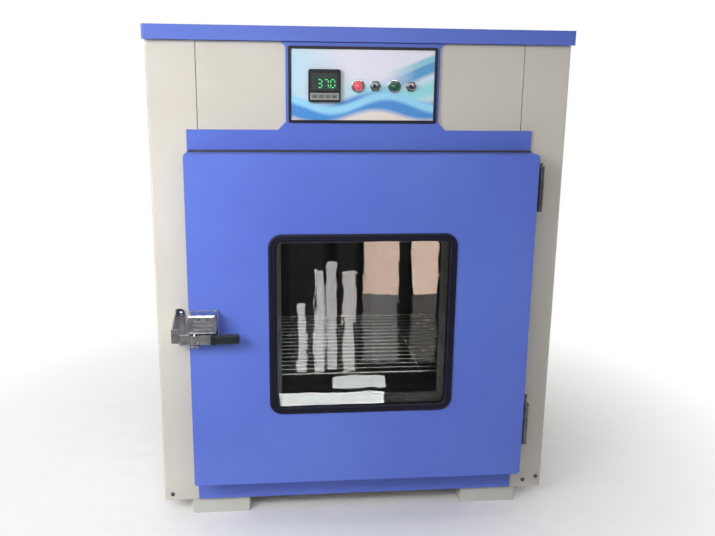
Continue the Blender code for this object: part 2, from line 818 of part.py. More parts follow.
def shelf_upright(name, side, end):
    """Slotted channel that stands against a side wall of the chamber."""
    wall = side * (CHAMBER_WIDTH / 2 - GAP)
    web = wall - side * (UPRIGHT_DEPTH - GAP)
    along = UPRIGHT_INSET if end < 0 else CHAMBER_DEPTH - UPRIGHT_INSET
    path = [
        (wall, along - UPRIGHT_WIDTH / 2),
        (web, along - UPRIGHT_WIDTH / 2),
        (web, along + UPRIGHT_WIDTH / 2),
        (wall, along + UPRIGHT_WIDTH / 2),
    ]
    outline = folded_strip(path, -side * UPRIGHT_SHEET)
    upright = plate(
        name, [outline], UPRIGHT_HEIGHT, (0, 0, DOOR_CENTRE_Z), "top", "steel"
    )
    count = int((UPRIGHT_HEIGHT - SLOT_PITCH) / SLOT_PITCH)
    spans = []
    for index in range(count):
        rise = DOOR_CENTRE_Z + (index - (count - 1) / 2) * SLOT_PITCH
        low = (web - UPRIGHT_DEPTH / 2, along - SLOT_WIDTH / 2, rise - SLOT_HEIGHT / 2)
        high = (web + UPRIGHT_DEPTH / 2, along + SLOT_WIDTH / 2, rise + SLOT_HEIGHT / 2)
        spans.append((low, high))
    cut(upright, boxes(name + " slots", spans))
    return upright


def shelf_rail(name, side):
    """Angle that hangs on a pair of uprights and carries one side of the shelf."""
    web = side * (CHAMBER_WIDTH / 2 - UPRIGHT_DEPTH - GAP)
    top = SHELF_Z - SHELF_BORDER_RADIUS - GAP
    path = [
        (web, top - RAIL_HEIGHT),
        (web, top),
        (web - side * RAIL_WIDTH, top),
    ]
    outline = folded_strip(path, side * UPRIGHT_SHEET)
    length = CHAMBER_DEPTH - 2 * UPRIGHT_INSET + UPRIGHT_WIDTH
    return plate(name, [outline], length, (0, CHAMBER_DEPTH / 2, 0), "front", "steel")


def wire_shelf():
    """Wire shelf: a round border, thin wires across it and thicker rods under them."""
    centre = (0, SHELF_FRONT + SHELF_DEPTH / 2)
    width = 2 * SHELF_HALF_WIDTH
    edge = rounded_rectangle(width, SHELF_DEPTH, SHELF_CORNER, centre)
    border = bent_rod(
        "wire_shelf", [(x, y, SHELF_Z) for x, y in edge], SHELF_BORDER_RADIUS, "wire", closed=True
    )
    count = int((SHELF_DEPTH - SHELF_CORNER) / SHELF_WIRE_PITCH)
    middle = (count - 1) / 2
    wires = []
    for index in range(count):
        along = centre[1] + (index - middle) * SHELF_WIRE_PITCH
        level = SHELF_Z + SHELF_BORDER_RADIUS - SHELF_WIRE_RADIUS
        wires.append(((-SHELF_HALF_WIDTH, along, level), (SHELF_HALF_WIDTH, along, level)))
    bars = []
    for index in range(SHELF_ROD_COUNT):
        across = width * ((index + 1) / (SHELF_ROD_COUNT + 1) - 0.5)
        level = SHELF_Z - SHELF_ROD_DROP
        bars.append(((across, SHELF_FRONT, level), (across, SHELF_FRONT + SHELF_DEPTH, level)))
    join(
        border,
        rods("shelf wires", wires, SHELF_WIRE_RADIUS, sides=6),
        rods("shelf rods", bars, SHELF_ROD_RADIUS, sides=8),
    )
    return border


def floor_plate():
    """Slotted plate over the heater, with lips down to the chamber's floor front and back."""
    front = FLOOR_PLATE_INSET
    back = CHAMBER_DEPTH - FLOOR_PLATE_INSET
    foot_z = CHAMBER_FLOOR_Z + GAP
    path = [(front, foot_z), (front, FLOOR_PLATE_Z), (back, FLOOR_PLATE_Z), (back, foot_z)]
    outline = folded_strip(rounded_path(path, BEND_RADIUS), -CHAMBER_SHEET)
    width = CHAMBER_WIDTH - 2 * CHAMBER_CORNER
    sheet = plate("floor_plate", [outline], width, (0, 0, 0), "side", "steel")
    spans = []
    for row in range(FLOOR_SLOT_ROWS):
        along = front + (back - front) * (row + 1) / (FLOOR_SLOT_ROWS + 1)
        for column in range(FLOOR_SLOT_COLUMNS):
            across = width * ((column + 0.5) / FLOOR_SLOT_COLUMNS - 0.5)
            low = (across - FLOOR_SLOT_LENGTH / 2, along - FLOOR_SLOT_WIDTH / 2, foot_z)
            high = (
                across + FLOOR_SLOT_LENGTH / 2,
                along + FLOOR_SLOT_WIDTH / 2,
                FLOOR_PLATE_Z + BEND_RADIUS,
            )
            spans.append((low, high))
    notches = []
    half = HEATER_RADIUS + HEATER_ROOM
    for side in (-1, 1):
        across = side * HEATER_SPREAD
        low = (across - half, back - BEND_RADIUS, foot_z - GAP)
        high = (across + half, back + BEND_RADIUS, HEATER_Z + half)
        notches.append((low, high))
    cut(sheet, boxes("floor slots", spans), boxes("heater notches", notches))
    return sheet


def heater_element():
    """Hairpin heater under the floor plate, on a flange against the chamber's back wall."""
    level = HEATER_Z
    back = CHAMBER_DEPTH - GAP
    front = HEATER_FRONT_ROOM
    turn = front + HEATER_LOOP_REACH
    spread = HEATER_SPREAD
    loop = HEATER_LOOP_SPREAD
    half = [(loop, turn), (loop, front), (spread, front), (spread, back)]
    corners = [(-x, y) for x, y in reversed(half)] + half
    path = rounded_path(corners, HEATER_BEND, steps=4)
    tube = bent_rod(
        "heater_element", [(x, y, level) for x, y in path], HEATER_RADIUS, "zinc"
    )
    edge = HEATER_FLANGE_EDGE
    near = back - HEATER_FLANGE_DEPTH
    flange = boxes(
        "heater flange",
        [((-spread - edge, near, level - edge), (spread + edge, back, level + edge))],
    )
    join(tube, flange)
    return tube


def temperature_probe():
    """Sensor rod that stands out of the chamber's back wall."""
    collar = PROBE_COLLAR_RADIUS
    profile = dome(PROBE_RADIUS, PROBE_LENGTH) + [
        (PROBE_RADIUS, PROBE_COLLAR_DEPTH),
        (collar - PROBE_COLLAR_CHAMFER, PROBE_COLLAR_DEPTH),
        (collar, PROBE_COLLAR_DEPTH - PROBE_COLLAR_CHAMFER),
        (collar, 0),
        (0, 0),
    ]
    centre = (0, CHAMBER_DEPTH - GAP, CHAMBER_CEILING_Z - PROBE_DROP)
    return turned("temperature_probe", profile, centre, (0, -1, 0), "steel", steps=16)


# Door


def window_outline(size):
    """A square of the given size whose corners run parallel to the window's."""
    radius = max(WINDOW_CORNER - (WINDOW_SIZE - size) / 2, BEND_RADIUS)
    return rounded_rectangle(size, size, radius)


def window_prism(name, size, near, far):
    """A square prism with the window's rounded corners, between two depths."""
    centre = (0, (near + far) / 2, DOOR_CENTRE_Z)
    return plate(name, [window_outline(size)], far - near, centre, "front")


def window_ring(name, outer, inner, near, far, key=None):
    """A square ring with the window's rounded corners, between two depths."""
    outlines = [window_outline(outer), window_outline(inner)]
    centre = (0, (near + far) / 2, DOOR_CENTRE_Z)
    return plate(name, outlines, far - near, centre, "front", key)


def door_skin():
    outline = rounded_rectangle(DOOR_WIDTH, DOOR_HEIGHT, DOOR_CORNER)
    centre = (0, DOOR_FACE_Y, DOOR_CENTRE_Z)
    skin = pan("door_skin", [outline], DOOR_THICKNESS, centre, "front", "blue")
    opening = window_prism(
        "skin opening", SKIN_OPENING, DOOR_FACE_Y - 2 * SHEET, DOOR_FACE_Y + 2 * SHEET
    )
    cut(skin, opening)
    return skin


def door_liner():
    """Stainless pan that closes the door's back, inside the skin's edges."""
    inset = SHEET + GAP
    outline = rounded_rectangle(DOOR_WIDTH - 2 * inset, DOOR_HEIGHT - 2 * inset, DOOR_CORNER)
    centre = (0, DOOR_BACK_Y, DOOR_CENTRE_Z)
    liner = pan("door_liner", [outline], -LINER_RETURN, centre, "front", "steel", CHAMBER_SHEET)
    opening = window_prism(
        "liner opening",
        REVEAL_SIZE - 2 * (REVEAL_SHEET + REVEAL_LIP),
        DOOR_BACK_Y - 2 * SHEET,
        DOOR_BACK_Y + 2 * SHEET,
    )
    cut(liner, opening)
    return liner


def door_insulation():
    inset = SHEET + CHAMBER_SHEET + 2 * GAP + DOOR_CORNER / 2
    near = DOOR_FACE_Y + SHEET + GAP
    far = DOOR_BACK_Y - CHAMBER_SHEET - GAP
    wool = boxes(
        "door_insulation",
        [
            (
                (-DOOR_WIDTH / 2 + inset, near, DOOR_BASE + inset),
                (DOOR_WIDTH / 2 - inset, far, DOOR_BASE + DOOR_HEIGHT - inset),
            )
        ],
        "wool",
    )
    opening = window_prism("wool opening", SKIN_OPENING + 2 * GAP, near - SHEET, far + SHEET)
    cut(wool, opening)
    return wool


def window_gasket():
    """Rubber bead round the pane: a lip in front, a web through the skin, a lip behind."""
    web_outer = SKIN_OPENING - 2 * GAP
    lip_depth = BEAD_PROUD - GAP
    glass_back = DOOR_FACE_Y + GLASS_THICKNESS + GAP
    bead = window_ring(
        "window_gasket",
        WINDOW_SIZE,
        SIGHT_SIZE,
        DOOR_FACE_Y - BEAD_PROUD,
        DOOR_FACE_Y - GAP,
        "rubber",
    )
    web = window_ring(
        "gasket web",
        web_outer,
        GLASS_SIZE + 2 * GAP,
        DOOR_FACE_Y - BEAD_PROUD / 2,
        glass_back + lip_depth / 2,
    )
    back_lip = window_ring(
        "gasket back lip", web_outer, SIGHT_SIZE, glass_back, glass_back + lip_depth
    )
    join(bead, web, back_lip)
    return bead


def outer_glass():
    outline = window_outline(GLASS_SIZE)
    centre = (0, DOOR_FACE_Y + GLASS_THICKNESS / 2, DOOR_CENTRE_Z)
    return plate("outer_glass", [outline], GLASS_THICKNESS, centre, "front", "glass")


def window_reveal():
    """Bright box between the panes, with a lip in front of the inner pane."""
    near = DOOR_FACE_Y + GLASS_THICKNESS + 2 * GAP + BEAD_PROUD
    far = DOOR_BACK_Y - CHAMBER_SHEET - GAP
    outer = REVEAL_SIZE
    reveal = window_ring(
        "window_reveal", outer, outer - 2 * REVEAL_SHEET, near, far, "steel"
    )
    lip_far = far - GLASS_THICKNESS - GAP
    lip = window_ring(
        "reveal lip",
        outer - REVEAL_SHEET,
        outer - 2 * (REVEAL_SHEET + REVEAL_LIP),
        lip_far - REVEAL_SHEET,
        lip_far,
    )
    join(reveal, lip)
    return reveal


def inner_glass():
    size = REVEAL_SIZE - 2 * REVEAL_SHEET - 2 * GAP
    far = DOOR_BACK_Y - CHAMBER_SHEET - GAP
    centre = (0, far - GLASS_THICKNESS / 2, DOOR_CENTRE_Z)
    return plate("inner_glass", [window_outline(size)], GLASS_THICKNESS, centre, "front", "glass")


def door_seal():
    """Silicone ring on the door's back that meets the blue frame."""
    width = DOOR_WIDTH - 2 * SEAL_INSET
    height = DOOR_HEIGHT - 2 * SEAL_INSET
    outlines = [
        rounded_rectangle(width, height, SEAL_CORNER),
        rectangle(width - 2 * SEAL_WIDTH, height - 2 * SEAL_WIDTH),
    ]
    thickness = DOOR_SEAL - 2 * GAP
    centre = (0, DOOR_BACK_Y + GAP + thickness / 2, DOOR_CENTRE_Z)
    return plate("door_seal", outlines, thickness, centre, "front", "silicone")


# Hinges


def hinge_frame_leaf(name, middle):
    """Angle leaf on the pillar, with the lower knuckle and the pin."""
    low = middle - HINGE_HEIGHT / 2
    near = HINGE_Y + HINGE_RADIUS + 2 * GAP
    side = HINGE_X + HINGE_LEAF / 2
    path = [
        (side - HINGE_LEAF, near),
        (side - HINGE_LEAF, -GAP),
        (side + HINGE_LEAF_WIDTH, -GAP),
    ]
    outline = folded_strip(path, -HINGE_LEAF)
    leaf = plate(name, [outline], HINGE_HEIGHT, (0, 0, middle), "top", "zinc")
    tab = boxes(
        name + " tab",
        [
            (
                (side - HINGE_LEAF, HINGE_Y, low),
                (side, near + HINGE_LEAF, middle - GAP / 2),
            )
        ],
    )
    knuckle = rods(
        name + " knuckle",
        [((HINGE_X, HINGE_Y, low), (HINGE_X, HINGE_Y, middle - GAP / 2))],
        HINGE_RADIUS,
        sides=20,
    )
    pin = rods(
        name + " pin",
        [((HINGE_X, HINGE_Y, low + HINGE_LEAF), (HINGE_X, HINGE_Y, middle + HINGE_HEIGHT / 2))],
        HINGE_PIN_RADIUS,
        sides=16,
    )
    join(leaf, tab, knuckle, pin)
    return leaf


def hinge_door_leaf(name, middle):
    """Flat leaf on the door's edge, with the upper knuckle."""
    high = middle + HINGE_HEIGHT / 2
    inner = DOOR_WIDTH / 2 + GAP
    leaf = boxes(
        name,
        [
            (
                (inner, HINGE_Y - HINGE_RADIUS, middle - HINGE_HEIGHT / 2),
                (inner + HINGE_LEAF, DOOR_BACK_Y, high),
            )
        ],
        "zinc",
    )
    tab = boxes(
        name + " tab",
        [
            (
                (inner + HINGE_LEAF / 2, HINGE_Y - HINGE_LEAF / 2, middle + GAP / 2),
                (HINGE_X, HINGE_Y + HINGE_LEAF / 2, high),
            )
        ],
    )
    knuckle = rods(
        name + " knuckle",
        [((HINGE_X, HINGE_Y, middle + GAP / 2), (HINGE_X, HINGE_Y, high))],
        HINGE_RADIUS,
        sides=20,
    )
    bore = rods(
        name + " bore",
        [((HINGE_X, HINGE_Y, middle - HINGE_LEAF), (HINGE_X, HINGE_Y, high + HINGE_LEAF))],
        HINGE_PIN_RADIUS + GAP,
        sides=16,
    )
    join(leaf, tab, knuckle)
    cut(leaf, bore)
    return leaf


# Latch


def latch_base():
    """Chrome body with pressed grooves, its foot plate, and an ear and pin for the lever."""
    foot_z = LEVER_Z - LEVER_HEIGHT / 2 - LEVER_PLAY - LATCH_PLATE
    top_z = LATCH_BODY_Z + LATCH_BODY_HEIGHT / 2
    left = LATCH_PIVOT_X - LATCH_PIVOT_INSET + GAP
    back = DOOR_FACE_Y - GAP
    front = LATCH_PIVOT_Y - LATCH_BOSS_RADIUS
    base = boxes(
        "latch_base",
        [((left, back - LATCH_PLATE, foot_z), (left + LATCH_PLATE_WIDTH, back, top_z))],
        "chrome",
    )
    soften(base, LATCH_PLATE / 4, 1)
    body = boxes(
        "latch body",
        [
            (
                (left, front, top_z - LATCH_BODY_HEIGHT),
                (left + LATCH_BODY_WIDTH, back - LATCH_PLATE / 2, top_z),
            )
        ],
    )
    soften(body, LATCH_BODY_BEVEL)
    groove_ends = (left + 2 * LATCH_BODY_BEVEL, left + LATCH_BODY_WIDTH - 2 * LATCH_BODY_BEVEL)
    groove_levels = [
        LATCH_BODY_Z + (row - (LATCH_GROOVE_COUNT - 1) / 2) * LATCH_GROOVE_PITCH
        for row in range(LATCH_GROOVE_COUNT)
    ]
    grooves = rods(
        "latch grooves",
        [((groove_ends[0], front, z), (groove_ends[1], front, z)) for z in groove_levels],
        LATCH_GROOVE_RADIUS,
    )
    cut(body, grooves)
    ear = plate(
        "latch ear",
        [
            [(LATCH_PIVOT_X + LATCH_BOSS_RADIUS, back - LATCH_PLATE / 2 - LATCH_PIVOT_Y)]
            + [(LATCH_PIVOT_X - LATCH_BOSS_RADIUS, back - LATCH_PLATE / 2 - LATCH_PIVOT_Y)]
            + arc((LATCH_PIVOT_X, 0), LATCH_BOSS_RADIUS, math.pi, 2 * math.pi, 10)
        ],
        LATCH_PLATE,
        (0, LATCH_PIVOT_Y, foot_z + LATCH_PLATE / 2),
        "top",
    )
    pin = rods(
        "latch pin",
        [
            (
                (LATCH_PIVOT_X, LATCH_PIVOT_Y, foot_z + LATCH_PLATE / 2),
                (LATCH_PIVOT_X, LATCH_PIVOT_Y, top_z - LATCH_BODY_HEIGHT / 2),
            )
        ],
        LATCH_PIN_RADIUS,
        sides=16,
    )
    join(base, body, ear, pin)
    return base


def lever_bar(name, grow, height):
    """The lever's flat bar, from the tongue's round end to the end inside the grip."""
    half = LEVER_THICKNESS / 2 + grow
    right = LEVER_ARM + grow
    left = LEVER_TONGUE - LEVER_THICKNESS / 2
    outline = arc((-left, 0), half, math.pi / 2, 3 * math.pi / 2, 8) + [
        (right, -half),
        (right, half),
    ]
    centre = (LATCH_PIVOT_X, LATCH_PIVOT_Y, LEVER_Z)
    return plate(name, [outline], height + 2 * grow, centre, "top", None if grow else "chrome")


def latch_lever():
    lever = lever_bar("latch_lever", 0, LEVER_HEIGHT)
    boss = rods(
        "lever boss",
        [
            (
                (LATCH_PIVOT_X, LATCH_PIVOT_Y, LEVER_Z - LEVER_HEIGHT / 2),
                (LATCH_PIVOT_X, LATCH_PIVOT_Y, LEVER_Z + LEVER_HEIGHT / 2),
            )
        ],
        LATCH_BOSS_RADIUS,
        sides=20,
    )
    bore = rods(
        "lever bore",
        [
            (
                (LATCH_PIVOT_X, LATCH_PIVOT_Y, LEVER_Z - LEVER_HEIGHT),
                (LATCH_PIVOT_X, LATCH_PIVOT_Y, LEVER_Z + LEVER_HEIGHT),
            )
        ],
        LATCH_PIN_RADIUS + GAP,
        sides=16,
    )
    join(lever, boss)
    cut(lever, bore)
    return lever


def latch_grip():
    """Black grip pushed over the lever's end."""
    right = LATCH_PIVOT_X + LEVER_ARM + LEVER_THICKNESS / 2
    grip = boxes(
        "latch_grip",
        [
            (
                (right - GRIP_LENGTH, LATCH_PIVOT_Y - GRIP_THICKNESS / 2, LEVER_Z - GRIP_HEIGHT / 2),
                (right, LATCH_PIVOT_Y + GRIP_THICKNESS / 2, LEVER_Z + GRIP_HEIGHT / 2),
            )
        ],
        "plastic",
    )
    soften(grip, GRIP_ROUND, 3)
    cut(grip, lever_bar("grip socket", GAP, LEVER_HEIGHT))
    return grip


def latch_keeper():
    """Bracket on the pillar, whose nose stands beside the closed lever's tongue.

    Its strap narrows from the tall flange on the pillar to the nose.
    """
    nose_x = LATCH_PIVOT_X - LEVER_TONGUE - KEEPER_CLEARANCE
    strap_x = nose_x - KEEPER_NOSE
    nose_y = LATCH_PIVOT_Y - LEVER_THICKNESS / 2
    flange_x = strap_x + KEEPER_FLANGE
    path = [(flange_x, -GAP), (strap_x, -GAP), (strap_x, nose_y), (nose_x, nose_y)]
    outline = folded_strip(path, KEEPER_SHEET)
    tall = (0, 0, LEVER_Z)
    keeper = plate("latch_keeper", [outline], KEEPER_HEIGHT, tall, "top", "chrome")
    front_view = plate(
        "keeper flange outline",
        [rounded_rectangle(2 * KEEPER_FLANGE, KEEPER_HEIGHT - 2 * GAP, KEEPER_CORNER)],
        -4 * nose_y,
        (strap_x, 0, LEVER_Z),
        "front",
    )
    flange = KEEPER_HEIGHT / 2
    root = -GAP - 2 * KEEPER_SHEET
    top = KEEPER_NOSE_RISE + KEEPER_NOSE_HEIGHT / 2
    foot = KEEPER_NOSE_RISE - KEEPER_NOSE_HEIGHT / 2
    neck = nose_y + KEEPER_NOSE_DEPTH
    side_view = plate(
        "keeper strap outline",
        [
            [
                (KEEPER_SHEET, -flange),
                (KEEPER_SHEET, flange),
                (root, flange),
                (neck, top),
                (nose_y - KEEPER_SHEET, top),
                (nose_y - KEEPER_SHEET, foot),
                (neck, foot),
                (root, -flange),
            ]
        ],
        4 * KEEPER_FLANGE,
        (strap_x, 0, LEVER_Z),
        "side",
    )
    combine(keeper, front_view, "INTERSECT")
    combine(keeper, side_view, "INTERSECT")
    return keeper


# Control label


def label_bezel():
    outlines = [
        rounded_rectangle(LABEL_WIDTH, LABEL_HEIGHT, LABEL_BORDER / 2, steps=3),
        rectangle(LABEL_WIDTH - 2 * LABEL_BORDER, LABEL_HEIGHT - 2 * LABEL_BORDER),
    ]
    thickness = LABEL_THICKNESS + LABEL_BORDER_PROUD
    centre = (0, LABEL_BACK_Y - thickness / 2, LABEL_CENTRE_Z)
    return plate("label_bezel", outlines, thickness, centre, "front", "plastic")


def control_label():
    """Printed plate with a hole for each instrument."""
    border = LABEL_BORDER + GAP
    line = INSTRUMENT_Z - LABEL_CENTRE_Z
    hole = CONTROLLER_BODY + 4 * GAP
    outlines = [
        rectangle(LABEL_WIDTH - 2 * border, LABEL_HEIGHT - 2 * border),
        rectangle(hole, hole, (CONTROLLER_X, line)),
    ]
    for across in (RED_LAMP_X, GREEN_LAMP_X):
        outlines.append(circle(LAMP_BARREL_RADIUS + GAP, (across, line)))
    for across in (LEFT_TOGGLE_X, RIGHT_TOGGLE_X):
        outlines.append(circle(TOGGLE_BUSHING_RADIUS + GAP, (across, line)))
    centre = (0, LABEL_FACE_Y + LABEL_THICKNESS / 2, LABEL_CENTRE_Z)
    return plate("control_label", outlines, LABEL_THICKNESS, centre, "front", "label")


def key_x(index):
    return CONTROLLER_X + (index - (KEY_COUNT - 1) / 2) * KEY_PITCH


def temperature_controller():
    """Controller: a square bezel in front of the label and a long body behind it."""
    face = CONTROLLER_FACE_Y
    bezel = plate(
        "temperature_controller",
        [rounded_rectangle(CONTROLLER_SIZE, CONTROLLER_SIZE, BEND_RADIUS, steps=3)],
        CONTROLLER_PROUD,
        (CONTROLLER_X, face + CONTROLLER_PROUD / 2, INSTRUMENT_Z),
        "front",
        "plastic",
    )
    half = CONTROLLER_BODY / 2
    body = boxes(
        "controller body",
        [
            (
                (CONTROLLER_X - half, face + CONTROLLER_PROUD / 2, INSTRUMENT_Z - half),
                (CONTROLLER_X + half, face + CONTROLLER_BODY_DEPTH, INSTRUMENT_Z + half),
            )
        ],
    )
    recess = plate(
        "display recess",
        [rectangle(DISPLAY_WIDTH + 2 * GAP, DISPLAY_HEIGHT + 2 * GAP)],
        2 * (DISPLAY_DEPTH + GAP),
        (CONTROLLER_X, face, INSTRUMENT_Z + DISPLAY_RISE),
        "front",
    )
    spans = []
    for index in range(KEY_COUNT):
        half_width = KEY_WIDTH / 2 + GAP
        half_height = KEY_HEIGHT / 2 + GAP
        middle = INSTRUMENT_Z - KEY_DROP
        low = (key_x(index) - half_width, face - KEY_POCKET, middle - half_height)
        high = (key_x(index) + half_width, face + KEY_POCKET, middle + half_height)
        spans.append((low, high))
    join(bezel, body)
    cut(bezel, recess, boxes("key pockets", spans))
    return bezel


def controller_display():
    centre = (
        CONTROLLER_X,
        CONTROLLER_FACE_Y + DISPLAY_DEPTH / 2,
        INSTRUMENT_Z + DISPLAY_RISE,
    )
    outline = rectangle(DISPLAY_WIDTH, DISPLAY_HEIGHT)
    return plate("controller_display", [outline], DISPLAY_DEPTH, centre, "front", "screen")


def controller_key(index):
    """Key that stands proud by its travel and stops before the pocket's end."""
    near = CONTROLLER_FACE_Y - KEY_TRAVEL
    far = CONTROLLER_FACE_Y + KEY_POCKET - KEY_TRAVEL - GAP
    middle = INSTRUMENT_Z - KEY_DROP
    x = key_x(index)
    empty = joint_empty("key_%d_travel" % (index + 1), (x, near, middle))
    key = boxes(
        "controller_key_%d" % (index + 1),
        [
            (
                (x - KEY_WIDTH / 2, near, middle - KEY_HEIGHT / 2),
                (x + KEY_WIDTH / 2, far, middle + KEY_HEIGHT / 2),
            )
        ],
        "keys",
    )
    carry(empty, key)
    return key


def lamp(name, across, key):
    """Pilot lamp: a chromed bezel with its barrel, and a domed lens in it."""
    centre = (across, LABEL_FACE_Y - GAP, INSTRUMENT_Z)
    bore = LAMP_STEM_RADIUS + GAP
    seat = LAMP_LENS_RADIUS + GAP
    half_depth = LAMP_BEZEL_DEPTH / 2
    profile = [
        (LAMP_RADIUS - LAMP_RIM_CHAMFER, LAMP_BEZEL_DEPTH),
        (LAMP_RADIUS, LAMP_BEZEL_DEPTH - LAMP_RIM_CHAMFER),
        (LAMP_RADIUS, 0),
        (LAMP_BARREL_RADIUS, 0),
        (LAMP_BARREL_RADIUS, -LAMP_BARREL_LENGTH),
        (bore, -LAMP_BARREL_LENGTH),
        (bore, half_depth),
        (seat, half_depth),
        (seat, LAMP_BEZEL_DEPTH),
    ]
    bezel = turned(name + "_lamp_bezel", profile, centre, (0, -1, 0), "chrome", ring=True)
    shoulder = half_depth + GAP
    lens_profile = dome(LAMP_LENS_RADIUS, LAMP_BEZEL_DEPTH + LAMP_LENS_RADIUS) + [
        (LAMP_LENS_RADIUS, shoulder),
        (LAMP_STEM_RADIUS, shoulder),
        (LAMP_STEM_RADIUS, -LAMP_STEM_LENGTH),
        (0, -LAMP_STEM_LENGTH),
    ]
    lens = turned(name + "_lamp_lens", lens_profile, centre, (0, -1, 0), key)
    return bezel, lens


def toggle(name, across):
    """Toggle switch: threaded bushing and nut in front, body behind, and a tilting lever."""
    centre = (across, LABEL_FACE_Y - GAP, INSTRUMENT_Z)
    reach = TOGGLE_BUSHING_REACH
    profile = [
        (TOGGLE_BUSHING_RADIUS, reach),
        (TOGGLE_BUSHING_RADIUS, TOGGLE_NUT_DEPTH),
        (TOGGLE_NUT_RADIUS, TOGGLE_NUT_DEPTH),
        (TOGGLE_NUT_RADIUS, 0),
        (TOGGLE_BUSHING_RADIUS, 0),
        (TOGGLE_BUSHING_RADIUS, -reach),
        (0, -reach),
        (0, reach - TOGGLE_BORE_DEPTH),
        (TOGGLE_BORE_RADIUS, reach - TOGGLE_BORE_DEPTH),
        (TOGGLE_BORE_RADIUS, reach),
    ]
    switch = turned(name + "_toggle_body", profile, centre, (0, -1, 0), "chrome", ring=True)
    half = TOGGLE_BODY_WIDTH / 2
    back = centre[1] + reach - SHEET
    case = boxes(
        name + " toggle case",
        [
            (
                (across - half, back, INSTRUMENT_Z - half),
                (across + half, back + TOGGLE_BODY_DEPTH, INSTRUMENT_Z + half),
            )
        ],
    )
    join(switch, case)
    pivot = (across, TOGGLE_PIVOT_Y, INSTRUMENT_Z)
    empty = joint_empty(name + "_toggle_tilt", pivot)
    ball = TOGGLE_BORE_RADIUS - GAP
    neck = math.sqrt(ball ** 2 - TOGGLE_LEVER_RADIUS ** 2)
    underside = [(radius, -height) for radius, height in dome(ball, ball)]
    lever_profile = dome(TOGGLE_TIP_RADIUS, TOGGLE_LEVER_LENGTH) + [
        (TOGGLE_LEVER_RADIUS, TOGGLE_LEVER_LENGTH - TOGGLE_TIP_LENGTH),
        (TOGGLE_LEVER_RADIUS, neck),
    ] + underside[::-1]
    toward = (0, -math.cos(TOGGLE_TILT), math.sin(TOGGLE_TILT))
    lever = turned(name + "_toggle_lever", lever_profile, pivot, toward, "chrome", steps=16)
    carry(empty, lever)
    return switch, lever


# Vents and cord gland


def vent(name, side):
    """Vent through a side wall: a plate with its tube and pin, and a cover that swings on it."""
    outer = CABINET_WIDTH / 2 + GAP
    face = outer + VENT_PLATE
    inner = CHAMBER_WIDTH / 2
    plate_z = VENT_Z + VENT_PIVOT_RISE / 2
    body = plate(
        name + "_vent_body",
        [rounded_rectangle(VENT_PLATE_WIDTH, VENT_PLATE_HEIGHT, 2 * BEND_RADIUS, steps=3)],
        VENT_PLATE,
        (side * (outer + VENT_PLATE / 2), VENT_Y, plate_z),
        "side",
        "zinc",
    )
    tube = rods(
        name + " vent tube",
        [((side * inner, VENT_Y, VENT_Z), (side * (outer + VENT_PLATE / 2), VENT_Y, VENT_Z))],
        VENT_BORE + VENT_WALL,
        sides=24,
    )
    bore = rods(
        name + " vent bore",
        [((side * (inner - VENT_PLATE), VENT_Y, VENT_Z), (side * (face + VENT_PLATE), VENT_Y, VENT_Z))],
        VENT_BORE,
        sides=24,
    )
    pivot_z = VENT_Z + VENT_PIVOT_RISE
    cover_face = face + GAP + VENT_COVER
    head_start = cover_face + GAP
    pin = rods(
        name + " vent pin",
        [
            (
                (side * (outer + VENT_PLATE / 2), VENT_Y, pivot_z),
                (side * (head_start + VENT_RIVET_HEAD / 2), VENT_Y, pivot_z),
            )
        ],
        VENT_PIVOT_RADIUS,
        sides=16,
    )
    head = rods(
        name + " vent rivet",
        [
            (
                (side * head_start, VENT_Y, pivot_z),
                (side * (head_start + VENT_RIVET_HEAD), VENT_Y, pivot_z),
            )
        ],
        VENT_RIVET_RADIUS,
        sides=16,
    )
    join(body, tube, pin, head)
    cut(body, bore)
    empty = joint_empty(name + "_vent_swing", (side * face, VENT_Y, pivot_z))
    slope = math.asin((VENT_COVER_RADIUS - VENT_EAR) / VENT_PIVOT_RISE)
    drop = arc((0, -VENT_PIVOT_RISE), VENT_COVER_RADIUS, math.pi - slope, 2 * math.pi + slope, 16)
    crown = arc((0, 0), VENT_EAR, slope, math.pi - slope, 8)
    cover = plate(
        name + "_vent_cover",
        [drop + crown, circle(VENT_PIVOT_RADIUS + GAP, steps=16)],
        VENT_COVER,
        (side * (face + GAP + VENT_COVER / 2), VENT_Y, pivot_z),
        "side",
        "zinc",
    )
    carry(empty, cover)
    return body, cover


def cord_gland():
    """Gland for the mains cord in the back panel: thread inside, nut and dome outside."""
    centre = (GLAND_X, BACK_PANEL_Y + GAP, GLAND_Z)
    profile = [
        (GLAND_MOUTH_RADIUS, GLAND_REACH),
        (GLAND_DOME_RADIUS, GLAND_REACH - GLAND_MOUTH_DEPTH),
        (GLAND_DOME_RADIUS, GLAND_NUT_DEPTH),
        (GLAND_NUT_RADIUS, GLAND_NUT_DEPTH),
        (GLAND_NUT_RADIUS, 0),
        (GLAND_TAIL_RADIUS, 0),
        (GLAND_TAIL_RADIUS, -GLAND_TAIL_LENGTH),
        (GLAND_BORE, -GLAND_TAIL_LENGTH),
        (GLAND_BORE, GLAND_REACH),
    ]
    return turned("cord_gland", profile, centre, (0, 1, 0), "plastic", ring=True)


def build_cabinet():
    for name, side in (("left", -1), ("right", 1)):
        side_panel(name + "_side_panel", side)
        shelf_rail(name + "_shelf_rail", side)
        vent(name, side)
        for place_name, end in (("front", -1), ("rear", 1)):
            foot("%s_%s_foot" % (place_name, name), side, end)
            shelf_upright("%s_%s_upright" % (place_name, name), side, end)
    back_panel()
    bottom_panel()
    top_cover()
    fascia_panel()
    door_frame()
    cabinet_insulation()
    chamber()
    floor_plate()
    heater_element()
    temperature_probe()
    cord_gland()
    latch_keeper()
    shelf_slide = joint_empty("shelf_slide", (0, SHELF_FRONT, SHELF_Z))
    carry(shelf_slide, wire_shelf())


